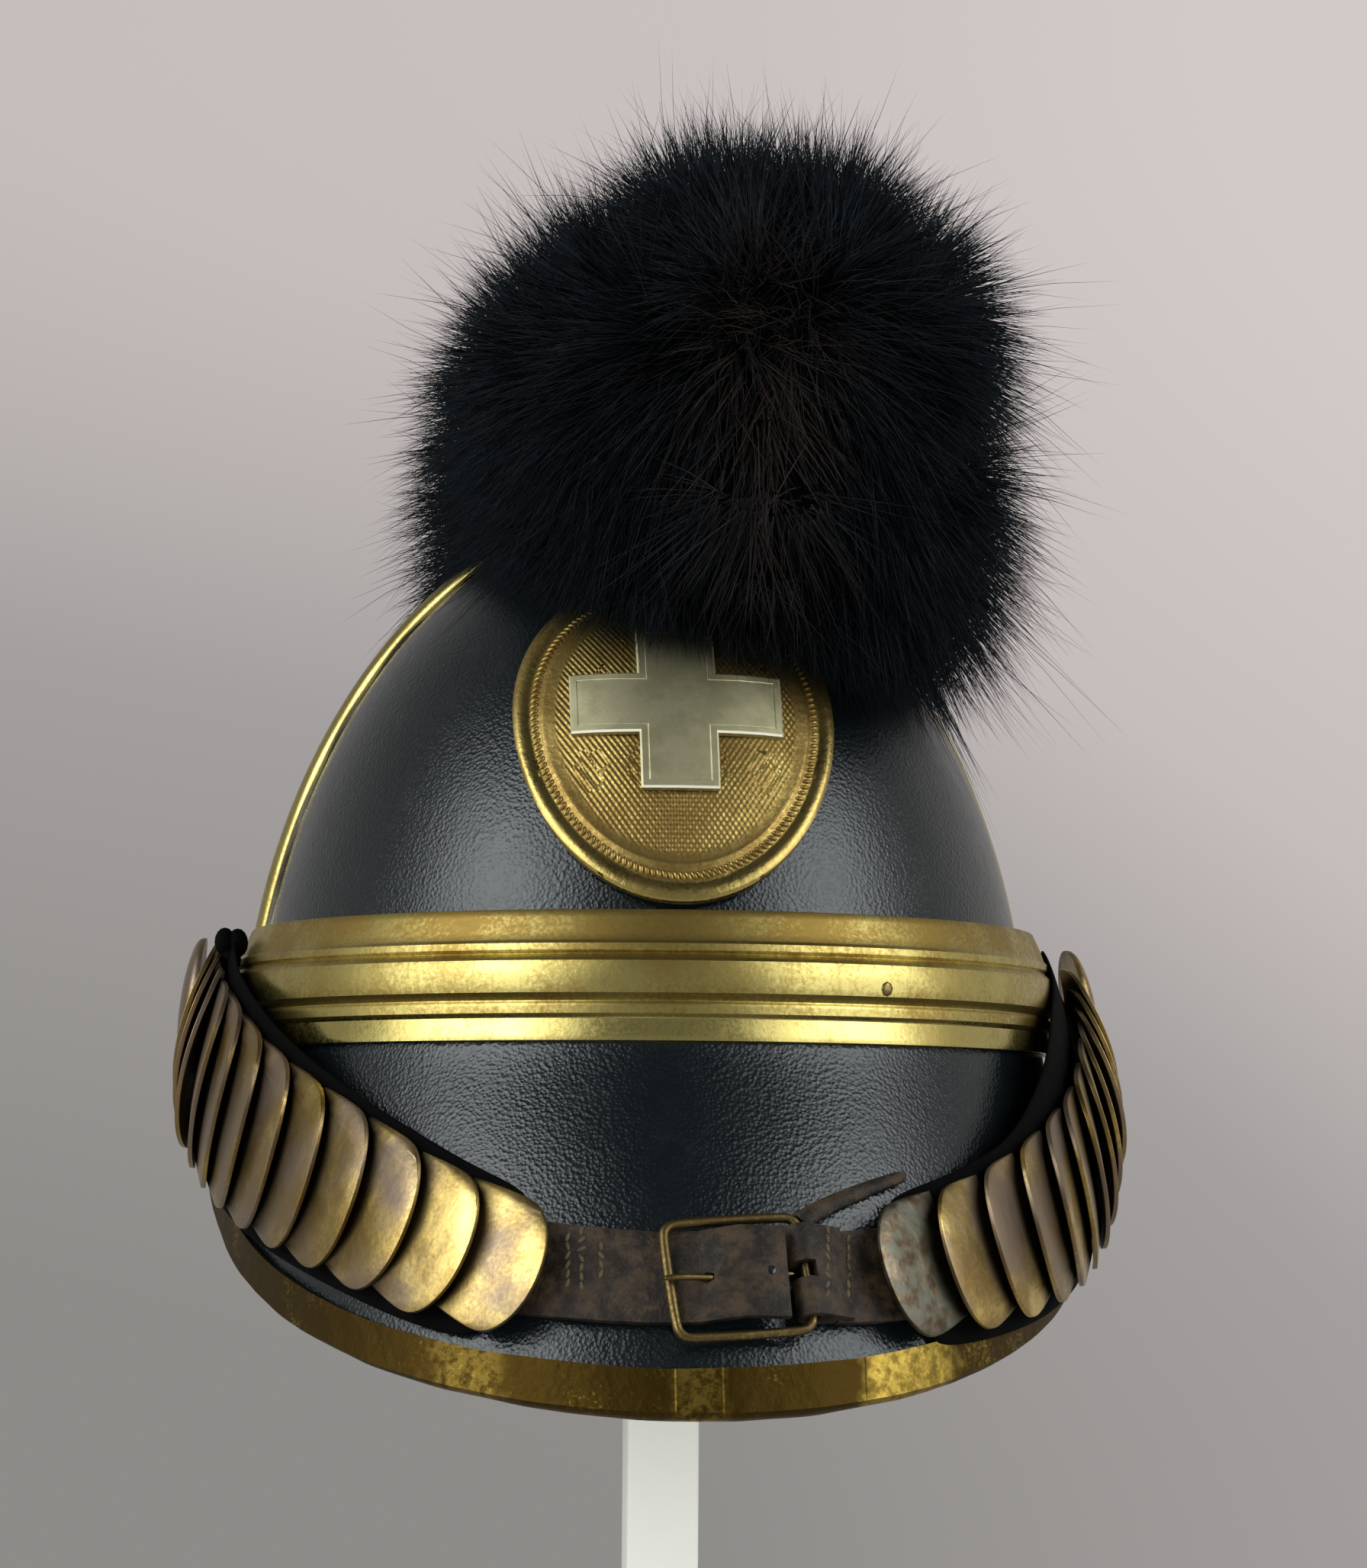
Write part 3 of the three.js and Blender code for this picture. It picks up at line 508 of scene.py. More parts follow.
# %% Places on the plate
# The dome's half width, half length and height, and the power of its curve, which is 2 for an ellipsoid.
SKULL_HALF = (84.5, 104, 120)
SLACK = 1.9
# The plate's half sizes, its middle's height over the band's foot, and its height over the leather.
PLATE_HALF = (32, 40)
PLATE_UP = 64.5
PLATE_LIFT = 1.2


def rise_at(up):
    return asin((up / SKULL_HALF[2]) ** (SLACK / 2))


MIDDLE_RISE = rise_at(PLATE_UP)
MERIDIAN = hypot(SKULL_HALF[1] * sin(MIDDLE_RISE), SKULL_HALF[2] * cos(MIDDLE_RISE))


def on_plate(across, up, lift):
    """A point over the dome in metres, by distances from the plate's middle in mm, and the way it faces."""
    rise = MIDDLE_RISE + up / MERIDIAN
    plan, tall = cos(rise) ** (2 / SLACK), sin(rise) ** (2 / SLACK)
    half_width, half_length, height = SKULL_HALF
    y = -half_length * sqrt(plan ** 2 - (across / half_width) ** 2)
    level_part = plan ** (SLACK - 2)
    level_facing = across * level_part / half_width ** 2, y * level_part / half_length ** 2
    facing = Vector((*level_facing, tall ** (SLACK - 1) / height)).normalized()
    return (Vector((across, y, height * tall + LIFT)) + facing * lift) * MM, facing


def plate_place(point):
    """The distances across and up the plate, in metres, of a point that lies on it."""
    up = MERIDIAN * (rise_at(point.z / MM - LIFT - PLATE_LIFT) - MIDDLE_RISE)
    return point.x, up * MM


print("plate middle", [round(v / MM, 1) for v in on_plate(0, 0, 0)[0]])

# %% Plate
def plate_shares(at):
    """Shares of the plate's half sizes across and up, and the sum of their squares."""
    flat = at.node("TexCoord", out="UV")
    wide, tall = (flat.axis(name) * (1 / (half * MM)) for name, half in zip("XY", PLATE_HALF))
    return wide, tall, wide * wide + tall * tall


GROOVE_PITCH = 1.05


def plate_grooves(at):
    """Two crossing sets of fine grooves over the plate's ground."""
    wide, tall, reach = plate_shares(at)
    waves = 2 * pi / GROOVE_PITCH
    across, up = wide * (0.86 * PLATE_HALF[0] * waves), tall * (0.55 * PLATE_HALF[1] * waves)
    one, other = (across + up).math("SINE"), (across - up).math("SINE")
    return (one + other * 0.5) * (1 - reach.between(0.55, 0.60)) * 0.27


def plate_polish_and_highlight(at):
    """The smooth rim is polished, and its lower edge is brighter still as a painted highlight. The ground is brown.
    """
    _, tall, reach = plate_shares(at)
    return reach.between(0.78, 0.84) * (1 - tall.between(-0.5, 0.6) * 0.7)


# The stamped relief from the plate's middle to its edge: share of the way, and height over the leather in mm.
STAMPING = np.array([
    (0, 3.4), (0.5, 3.1), (0.775, 2.45), (0.79, 2.6), (0.805, 2.75), (0.82, 2.6), (0.83, 2.4), (0.89, 2.35),
    (0.905, 2.6), (0.935, 3.05), (0.965, 3.05), (0.985, 2.7), (1.0, 1.5),
])

plate_brass = old_brass("plate brass", rgb(0.52, 0.405, 0.13), rgb(0.27, 0.172, 0.050), (0.34, 0.60), 0.32, 14,
                        depth=0.16, height=plate_grooves, polish_and_highlight=plate_polish_and_highlight)
plate = worked_copy("front_plate", "brass_plate")
round_off(plate, 24, 0.8)
for vertex in plate.data.vertices:
    across, up = (value / MM for value in plate_place(vertex.co))
    share = hypot(across / PLATE_HALF[0], up / PLATE_HALF[1])
    _, _, _, lift = skull_face.find_nearest(vertex.co)
    if lift > 0.8 * MM and share < 0.99:
        vertex.co, _ = on_plate(across, up, np.interp(share, *STAMPING.T))
smooth(plate)
layer = plate.data.uv_layers.active or plate.data.uv_layers.new(name="plate_place")
for loop in plate.data.loops:
    layer.data[loop.index].uv = plate_place(plate.data.vertices[loop.vertex_index].co)
dress(plate, plate_brass, "brass", "front_plate")

# %% Rope border
def as_piece(name, points, faces):
    mesh = bpy.data.meshes.new(name)
    mesh.from_pydata(points.tolist(), [], faces)
    mesh.shade_smooth()
    piece = bpy.data.objects.new(name, mesh)
    scene.collection.objects.link(piece)
    return piece


def ring_faces(count, size):
    """The quads that join rings of points, each ring to the next."""
    return [(r + i, r + (i + 1) % size, r + size + (i + 1) % size, r + size + i)
            for r in range(0, (count - 1) * size, size) for i in range(size)]


def halved(quads):
    return [half for a, b, c, d in quads for half in ((a, b, c), (a, c, d))]


def frame_at(place, facing, along, turn=0.0):
    """A matrix at a place, with z along its facing and x along a way, then turned about z."""
    z = facing.normalized()
    y = z.cross(along).normalized()
    x = y.cross(z)
    rest = Matrix((x, y, z)).transposed().to_4x4()
    return Matrix.Translation(place) @ rest @ Matrix.Rotation(turn, 4, "Z")


def beads(name, half_sizes, frames):
    """Flattened beads as one piece, each moved by its own matrix. Half sizes along x, y and z are in mm."""
    bpy.ops.mesh.primitive_uv_sphere_add(segments=8, ring_count=6, radius=MM)
    bead = bpy.context.object
    points = np.array([(*(vertex.co * Vector(half_sizes)), 1) for vertex in bead.data.vertices])
    placed = np.concatenate([points @ np.array(matrix).T for matrix in frames])[:, :3]
    faces = [tuple(index + start for index in face.vertices)
             for start in range(0, len(placed), len(points)) for face in bead.data.polygons]
    bpy.data.objects.remove(bead)
    return as_piece(name, placed, faces)


BEADS = 152
ROPE_HALF = [half * 0.86 for half in PLATE_HALF]
ROPE_LIFT = 2.4
ROPE_SLANT = radians(28)


def on_rope(angle):
    return on_plate(ROPE_HALF[0] * cos(angle), ROPE_HALF[1] * sin(angle), ROPE_LIFT)


bead_frames = []
for index in range(BEADS):
    angle = 2 * pi * index / BEADS
    place, facing = on_rope(angle)
    bead_frames.append(frame_at(place, facing, on_rope(angle + 0.02)[0] - place, ROPE_SLANT))
dress(beads("plate_rope", (0.52, 1.1, 0.5), bead_frames), plate_brass, "brass")

# %% [markdown]
# ## The cross
# The cross is nickel silver, a greyer and greener metal than brass. Its edge is bevelled and a fine line runs
# just inside it. The line is made with two insets of the upper faces: one steps down and the next steps up.
# Slanted faces that look down, and a little those that look sideways, are painted pale and bright: a painted
# highlight of the light from below along the lower edges. Each face stores a number for that, and the finish reads
# it as an attribute.

# %% Cross
def ramp(value, start, end):
    """How far a value is on the way from start to end, from 0 to 1."""
    return np.clip((value - start) / (end - start), 0, 1)


at = new_finish("nickel silver")
film = at.noise(7, detail=5, rough=0.6)
# Painted highlight: bevel faces that look down get a pale colour and lose most of their metal.
edge = at.node("Attribute", out="Fac", attribute_name="bevel_highlight")
dull = film.between(0.38, 0.66).mix(rgb(0.66, 0.635, 0.40), rgb(0.48, 0.46, 0.275))
colour = edge.mix(dull, rgb(0.88, 0.86, 0.68))
grain = at.noise(0.45) * 0.4 + at.noise(9, detail=1) * 1.5
nickel = close_finish(at, grain, 0.06, Base_Color=colour, Metallic=1 - edge * 0.85,
                      Roughness=0.42 + film * 0.14)

NARROWER = 0.95
# The bevel's width and rise, and the fine line's distance inwards, width and depth, in mm.
BEVEL = (0.42, 0.32)
LINE_IN, LINE_WIDE, LINE_DEEP = 1.2, 0.14, 0.1
cross = worked_copy("plate_cross", "nickel_cross")
for vertex in cross.data.vertices:
    vertex.co.x *= NARROWER
_, plate_facing = on_plate(0, 0, 0)
bpy.context.tool_settings.mesh_select_mode = (False, False, True)
for face in cross.data.polygons:
    face.select = face.normal.dot(plate_facing) > 0.6
with editing(cross):
    bpy.ops.mesh.inset(thickness=BEVEL[0] * MM, depth=BEVEL[1] * MM)
# Each slanted face stores how much painted highlight it gets, more the further it looks down.
slanted = cross.data.attributes.new("bevel_highlight", "FLOAT", "FACE")
for face in cross.data.polygons:
    across, up = (value / MM for value in plate_place(face.center))
    facing = on_plate(across, up, 0)[1]
    if 0.2 < face.normal.dot(facing) < 0.95:
        slanted.data[face.index].value = ramp(facing.z - face.normal.z, 0.05, 0.55)
with editing(cross):
    for thickness, depth in ((LINE_IN, 0), (LINE_WIDE, -LINE_DEEP), (LINE_WIDE, LINE_DEEP)):
        bpy.ops.mesh.inset(thickness=thickness * MM, depth=depth * MM)
smooth(cross, 25)
dress(cross, nickel, "nickel_silver", "plate_cross")

# %% [markdown]
# ## The chin chain
# Twelve brass scales lie on each strap like tiles, and each covers the root of the next. They are duller than
# the band: bronze where hands rub them, purple-grey tarnish in between, and green verdigris on the last one on
# the right, where sweat from the strap reached it. Each lap is painted dark as a shadow on the scale under it, so
# every point of a scale stores how near the scale before it is.

# %% Scale finishes
def scale_brass(name, size, bright, brown, grey, grey_share):
    """Dull brass with clouds of tarnish of about this size in mm. It is duller up the chain."""
    at = new_finish(name)
    side = at.axis("X") * (1 / MM)
    dulled = side.between(28, 60) * 0.75 + side.between(-50, -82)
    clouds = at.noise(size, detail=4, rough=0.55)
    film = at.noise(size * 1.3)
    specks = at.noise(0.8, rough=0.7)
    warm = (clouds * 0.75 + specks * 0.25 + dulled * 0.16).between(0.36, 0.66).mix(bright, brown)
    tarnish = (film * 0.85 + specks * 0.15 + dulled * 0.08).between(*grey_share)
    # Painted shadow: where the scale before laps this one, the colour goes near black.
    lap_shade = at.node("Attribute", out="Fac", attribute_name="lap_shade")
    colour = lap_shade.mix(tarnish.mix(warm, grey), rgb(0.020, 0.014, 0.007))
    waves = at.noise(6, detail=2) * 2.6 + at.noise(1.8, detail=2) * 0.7 + specks * 0.4
    dullness = 0.27 + tarnish * 0.14 + specks * 0.10 + lap_shade * 0.2
    return close_finish(at, waves, 0.07, Base_Color=colour, Roughness=dullness, Metallic=1.0)


bronze = scale_brass("scale bronze", 13, rgb(0.86, 0.66, 0.23), rgb(0.36, 0.245, 0.075), rgb(0.29, 0.225, 0.165),
                     (0.42, 0.70))
verdigris = scale_brass("scale verdigris", 2.6, rgb(0.24, 0.185, 0.12), rgb(0.10, 0.07, 0.045),
                        rgb(0.17, 0.175, 0.135), (0.40, 0.66))


# %% Scales and bosses
SCALES = 12


def unit(vectors):
    return vectors / np.maximum(np.linalg.norm(vectors, axis=-1, keepdims=True), 1e-9)


def chain(hand):
    """The scales' points, middles, facings and ways onward and across, from the boss to the last."""
    nodes = [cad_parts[f"scale_{hand}_{number:02d}"] for number in range(1, SCALES + 1)]
    clouds = [np.array([vertex.co for vertex in node.data.vertices]) for node in nodes]
    middles = np.array([cloud.mean(0) for cloud in clouds])
    thin_ways = np.array([np.linalg.svd(c - m, full_matrices=False)[2][2] for c, m in zip(clouds, middles)])
    facings = thin_ways * np.sign((thin_ways[:, :2] * middles[:, :2]).sum(1, keepdims=True))
    onward = unit(np.gradient(middles, axis=0))
    return clouds, middles, facings, onward, unit(np.cross(facings, onward))


def fit_scale(piece, middle, facing, onward, across, wider, longer):
    """Grows the upper half of the root, which the scale before it covers, and lifts the tip a little."""
    points = np.array([vertex.co for vertex in piece.data.vertices])
    along = (points - middle) @ onward
    root, tip = ramp(along, 0, along.min()), ramp(along, 0, along.max())
    upward = across * np.sign(across[2])
    points += upward * (np.maximum((points - middle) @ upward, 0) * root * wider)[:, None]
    points += onward * (along * root * longer)[:, None] + facing * (tip * RAISED * MM)[:, None]
    piece.data.vertices.foreach_set("co", points.ravel())
    piece.data.update()


def paint_lap_shade(piece, before, reach):
    """Stores painted shade on the points of a scale that lie within a reach in mm of the scale that laps it."""
    lapping = face_of(before.data)
    gaps = np.array([lapping.find_nearest(vertex.co)[3] for vertex in piece.data.vertices]) / MM
    lap_shade = piece.data.attributes.new("lap_shade", "FLOAT", "POINT")
    lap_shade.data.foreach_set("value", ramp(gaps, reach, 0.3 * reach).astype(np.float32))


# The reach of the painted shade under a lap in mm, by the scale's number. The upper left scales lie tight.
LAP_SHADE_REACH = {"left": ([4, 10], [2.4, 4.6]), "right": ([1, 12], [4.6, 4.6])}
# The shares by which a scale's root grows in width and length from the fifth on, and each tip's lift in mm.
ROOT_GROWTH = {"left": (0.36, 0.7), "right": (0.36, 0.35)}
RAISED = 0.9
for hand in HANDS:
    before = None
    for number, shape in enumerate(zip(*chain(hand)[1:]), 1):
        node = f"scale_{hand}_{number:02d}"
        piece = worked_copy(node, f"brass_{node}")
        wider, longer = np.array(ROOT_GROWTH[hand]) * np.interp(number, [2, 5], [0, 1])
        fit_scale(piece, *shape, wider, longer)
        round_off(piece, 50)
        soften(piece, 0.14, 50)
        smooth(piece)
        if before:
            paint_lap_shade(piece, before, np.interp(number, *LAP_SHADE_REACH[hand]))
        before = piece
        last = hand == "right" and number == SCALES
        dress(piece, verdigris if last else bronze, "scale_brass", node)
    boss = worked_copy(f"boss_{hand}", f"brass_boss_{hand}")
    round_off(boss, 50)
    smooth(boss)
    dress(boss, bronze, "scale_brass", f"boss_{hand}")

# %% [markdown]
# ## Leather behind the scales
# A strip of black leather backs the chain and shows as a dark line past the ends of the scales. It follows the
# scales, so its rings are worked out from them: the middle of each, the way it faces, and how wide it is. On the
# right its upper end widens into a flap that is partly leather and partly painted shade, a dark sheet filling the
# shadow between the chain and the band's end. The left strip ends in a small tied loop beside the band, made of
# three flattened beads on the strip's highest point.

# %% Backing of the chain
# Points across each face of a strip.
ACROSS = 7


def strip(name, middles, facings, halves, thickness, lean):
    """A closed strip through middles. Its edges bow back a little, and its upper edge leans back too."""
    across = unit(np.cross(facings, np.gradient(middles, axis=0)))
    across *= np.sign(across[:, 2:])
    shares = np.linspace(-1, 1, ACROSS)
    reach = across[:, None] * (halves[:, None] * shares)[:, :, None]
    back = 0.5 * MM * shares ** 2 + np.multiply.outer(np.broadcast_to(lean, halves.shape), np.maximum(shares, 0))
    front = middles[:, None] + reach - facings[:, None] * back[:, :, None]
    rings = np.concatenate([front, front[:, ::-1] - facings[:, None] * thickness], 1)
    count, size = rings.shape[:2]
    last = (count - 1) * size
    faces = ring_faces(count, size)
    for i in range(ACROSS - 1):
        j = size - 1 - i
        faces += [(i + 1, i, j, j - 1), (last + i, last + i + 1, last + j - 1, last + j)]
    piece = as_piece(name, rings.reshape(-1, 3), faces)
    with editing(piece):
        bpy.ops.mesh.select_all(action="SELECT")
        bpy.ops.mesh.normals_make_consistent(inside=False)
    subdivide(piece)
    return piece


# The backing is near black and nearly without shine: black leather with the shade behind the chain painted in.
at = new_finish("backing leather")
backing_leather = close_finish(at, at.noise(1.2, detail=4), 0.08, Base_Color=rgb(0.0015, 0.0015, 0.0015),
                               Roughness=0.7 + at.noise(3) * 0.2, Specular_IOR_Level=0.06)
# How far the strip reaches past the scales and lies behind their middles, and its thickness, in mm.
MARGIN, BEHIND, BACKING_THICK = 1.5, 2.6, 1.4
# How much wider the strip is at its upper scales, and how far it leans back there, in mm.
# The right flap is partly painted shade: a dark sheet where the chain meets the band's end.
FLAP = {"left": (1.5, 0), "right": (9, 2.5)}
FLAP_SHARE = np.interp(np.arange(SCALES), [0, 1, 4, 8], [0.1, 1, 1, 0])
for hand in HANDS:
    clouds, middles, facings, _, across = chain(hand)
    halves = np.array([np.ptp((c - m) @ way) for c, m, way in zip(clouds, middles, across)]) / 2 + MARGIN * MM
    upward = across * np.sign(across[:, 2:])
    wider, lean = FLAP_SHARE * np.array(FLAP[hand])[:, None] * MM
    seats = middles - facings * BEHIND * MM + upward * wider[:, None] / 2
    backing = strip(f"leather_backing_{hand}", seats, facings, halves + wider / 2, BACKING_THICK * MM, lean)
    dress(backing, backing_leather, "strap_leather")
    if hand == "left":
        top = max((vertex.co for vertex in backing.data.vertices), key=lambda place: place.z).copy()

# Where the loop's beads lie by the strip's highest point: rightwards and up, and all ahead of it, in mm.
LOBES = ((-1.8, -0.8), (0.9, -1.0), (-0.6, -4.6))
LOOP_AHEAD = 2.2
loop_start = top - forward * LOOP_AHEAD * MM
loop_frames = [frame_at(loop_start + right * aside * MM + above * up * MM, -forward, right) for aside, up in LOBES]
loop = beads("leather_loop_left", (2.6, 3.6, 2.6), loop_frames)
subdivide(loop, 1)
dress(loop, backing_leather, "strap_leather")

# %% [markdown]
# ## Strap and buckle
# The strap is thin brown-black leather, dry and blotched, with a softer shine than the skull. The buckle is bent
# wire with a loose prong. Rows of thread hold the strap's ends, one punched hole shows, and a torn keeper stands up
# behind the buckle. Each of these is placed by the pixel where the picture shows it.

# %% Strap finish, straps and buckle
at = new_finish("strap leather")
swell = at.drift(detail=4, rough=0.6)
dry = at.noise(5, detail=6, rough=0.7)
colour = dry.between(0.40, 0.64).mix(rgb(0.009, 0.0065, 0.004), rgb(0.052, 0.034, 0.018))
uneven = swell.between(0.3, 0.7) * 1.3 + dry * 1.4 + at.noise(0.6) * 0.6
strap_leather = close_finish(at, uneven, 0.30, Base_Color=colour, Roughness=0.50 + dry * 0.2,
                             Specular_IOR_Level=0.4)
straps = {}
for hand in HANDS:
    strap = worked_copy(f"chin_strap_{hand}", f"leather_strap_{hand}")
    soften(strap, 0.3, 50)
    smooth(strap)
    straps[hand] = dress(strap, strap_leather, "strap_leather", f"chin_strap_{hand}")

buckle_brass = old_brass("buckle brass", rgb(0.40, 0.31, 0.12), rgb(0.15, 0.105, 0.040), (0.30, 0.54), 0.30, 6)
for node in ("buckle_frame", "buckle_prong"):
    piece = worked_copy(node, f"brass_{node}")
    subdivide(piece)
    smooth(piece)
    dress(piece, buckle_brass, "brass", node)

# %% Thread, hole, keeper and rivet
at = new_finish("old thread")
tone = at.noise(1.5).mix(rgb(0.04, 0.032, 0.018), rgb(0.15, 0.12, 0.062))
thread = close_finish(at, at.noise(0.3), 0.1, Base_Color=tone, Roughness=0.8)
# Where the picture shows them, in pixels. A seam has a strap, a place across, a top and a foot.
SEAMS = (
    ("left", 744, 1622, 1686), ("left", 762, 1614, 1692), ("left", 788, 1634, 1680),
    ("right", 1085, 1612, 1700), ("right", 1112, 1612, 1704),
)
STITCH_PITCH = 12
HOLE = (1012, 1665)
RIVET = (1163, 1297)
KEEPER = ((1046, 1606), (1066, 1592), (1095, 1578), (1125, 1565), (1152, 1555), (1180, 1545))
rng = np.random.default_rng(1874)
stitch_frames = []
for hand, across, top, foot in SEAMS:
    for down in range(top, foot, STITCH_PITCH):
        place, facing = seat_under(straps[hand], across, down)
        ahead, _ = seat_under(straps[hand], across, down + 4)
        if place is not None and ahead is not None:
            stitch_frames.append(frame_at(place, facing, ahead - place, rng.normal(0, 0.4)))
dress(beads("strap_stitches", (1.0, 0.42, 0.4), stitch_frames), thread, "strap_leather")

hole = frame_at(*seat_under(straps["left"], *HOLE), right)
dress(beads("strap_hole", (0.9, 1.0, 0.12), [hole]), skull_leather, "strap_leather")
rivet = frame_at(*seat_under(band, *RIVET), right)
dress(beads("band_rivet", (1.5, 1.5, 0.5), [rivet]), buckle_brass, "brass")

seats = [seat_under(peak, across, down) for across, down in KEEPER]
facings = np.array([facing for _, facing in seats])
middles = np.array([place for place, _ in seats]) + facings * 2.4 * MM
keeper = strip("leather_keeper", middles, facings, np.linspace(2.1, 1.3, len(seats)) * MM, 1.2 * MM, 0.4 * MM)
dress(keeper, strap_leather, "strap_leather")
print(len(stitch_frames), "stitches")

# %% [markdown]
# ## The stand
# The stand is plain white-painted wood: a post under the crown and a flat foot.

# %% Stand
at = new_finish("stand paint")
coat = at.drift(detail=3)
tone = at.noise(30, detail=4).mix(rgb(0.92, 0.93, 0.86), rgb(0.95, 0.96, 0.89))
paint = close_finish(at, coat, 0.05, Base_Color=tone, Roughness=0.45 + coat * 0.1)
for name in ("base", "post", "head"):
    piece = worked_copy(f"stand_{name}", f"painted_{name}")
    soften(piece, 1.0, 40, 3)
    smooth(piece, 35)
    dress(piece, paint, "stand_paint", f"stand_{name}")

# %% [markdown]
# ## The fur
# The crest is a roll of bear fur. Thousands of hairs can't be modelled one by one, and Blender's hair curves
# aren't solid, so the hairs are built as one array: each is a thin three-sided spike, rooted in a dark pelt,
# that leans away from the parting, bends under its weight and draws towards its neighbours' tips in locks.

# %% The roll's shape
# Rows of y, height over the band, radius and sideways lean, from the front end to the back, in mm.
ROLL = np.array([
    (-101, 117, 1, 15), (-100, 118, 16, 15), (-94, 121, 36, 15), (-76, 128, 48, 15), (-46, 134, 52, 14),
    (-14, 137, 51, 11), (22, 133, 48, 7), (56, 119, 43, 3), (84, 97, 36, 1), (101, 74, 27, 0), (108, 61, 14, 0),
    (110, 58, 1, 0),
], float)
LAST = len(ROLL) - 1
# How full the front of the roll is by the angle from its top, in degrees towards the viewer's right.
FULLNESS = np.array([
    (-180, 1.0), (-140, 0.95), (-120, 0.91), (-110, 0.895), (-100, 0.91), (-90, 0.98), (-70, 0.975), (-60, 0.91),
    (-40, 0.845), (-30, 0.80), (-20, 0.92), (0, 0.945), (10, 0.925), (20, 0.99), (30, 1.03), (40, 0.985),
    (50, 1.035), (60, 1.05), (70, 1.0), (80, 0.95), (90, 0.84), (100, 0.98), (110, 0.985), (125, 1.04),
    (140, 1.04), (180, 1.0),
])


def along_roll(place):
    """The roll's values at places from 0 to the last row, on a smooth curve through the rows."""
    low = np.clip(np.floor(place).astype(int), 0, LAST - 1)
    part = (place - low)[:, None]
    before, after = np.maximum(low - 1, 0), np.minimum(low + 2, LAST)
    a, b, c, d = ROLL[before], ROLL[low], ROLL[low + 1], ROLL[after]
    return 0.5 * (2 * b + (c - a) * part + (2 * a - 5 * b + 4 * c - d) * part ** 2
                  + (3 * b - a - 3 * c + d) * part ** 3)


def on_roll(place, angle):
    """Points on the roll's skin by place along it and angle from its top."""
    y, z, radius, lean = along_roll(place).T
    step = 0.01
    ahead, behind = along_roll(np.minimum(place + step, LAST)), along_roll(np.maximum(place - step, 0))
    onward = unit(np.stack([np.zeros_like(y), ahead[:, 0] - behind[:, 0], ahead[:, 1] - behind[:, 1]], 1))
    top = np.stack([np.zeros_like(y), -onward[:, 2], onward[:, 1]], 1)
    spoke = top * np.cos(angle)[:, None] + np.array([1.0, 0, 0]) * np.sin(angle)[:, None]
    full = np.interp(np.degrees(angle), *FULLNESS.T, period=360)
    full = 1 + (full - 1) * ramp(y, 40, -20)
    return np.stack([lean, y, z], 1) + spoke * (radius * full)[:, None]


def clear_of_dome(points, clearance):
    """Moves points that are in the leather bowl out to its face, with a clearance in mm."""
    half = np.array(SKULL_HALF) + np.asarray(clearance)[..., None]
    scaled = np.abs(points) / half
    plan = np.hypot(scaled[..., 0], scaled[..., 1])
    depth = plan ** SLACK + np.maximum(scaled[..., 2], 0) ** SLACK
    grow = np.where(depth < 1, np.maximum(depth, 0.05) ** (-1 / SLACK), 1.0)
    return points * grow[..., None]


print("fur roll rows", len(ROLL))

# %% Roots and combing
def sample_roll(count):
    """Evenly spread roots on the roll's skin, with more on the front end, which shows most."""
    fine = np.linspace(0, LAST, 400)
    rows = along_roll(fine)
    slant = np.linalg.norm(np.gradient(rows[:, :3], axis=0), axis=1)
    cumulative = np.cumsum(rows[:, 2] * slant * np.where(rows[:, 0] < -30, 2.2, 1.0))
    place = np.interp(rng.random(count) * cumulative[-1], cumulative, fine)
    return place, rng.random(count) * 2 * pi


def outward_of(place, angle):
    """The way that the roll's skin faces, from the differences over a small step."""
    step = 0.02
    by_place = on_roll(np.minimum(place + step, LAST), angle) - on_roll(np.maximum(place - step, 0), angle)
    by_angle = on_roll(place, angle + step) - on_roll(place, angle - step)
    normal = unit(np.cross(by_angle, by_place))
    away = on_roll(place, angle) - along_roll(place)[:, [3, 0, 1]]
    return normal * np.where((normal * away).sum(1, keepdims=True) < 0, -1, 1)


# How far right of the middle the fur is parted, and how deep the hairs are rooted, in mm.
PARTING_SIDE = 17
ROOT_DEPTH = 11
HAIRS_IN_LOCK = 10
# Where the fur ends over the plate: sideways place, and height over the band, in mm.
FUR_EDGE = np.array([
    (-60, 92), (-39, 88), (-31, 84), (-10, 79), (16, 75), (29, 71), (44, 66), (60, 62),
])


def combing(points):
    """How the front end is combed: aside from an upright parting, up at the top and down at the bottom."""
    side = points[:, 0] - PARTING_SIDE
    aside = np.tanh(side / 15)
    low = ramp(points[:, 2], 144, 100)
    high = ramp(points[:, 2], 138, 178)
    rise = high - (0.2 + 0.8 * low) * (1 - high)
    return np.stack([aside * (1 - 0.75 * low) * (1 - 0.5 * high), np.zeros_like(side), rise], 1)


print("fur edge points", len(FUR_EDGE))

# %% Growing hairs
HAIRS = 42000
SHORTEST = 4


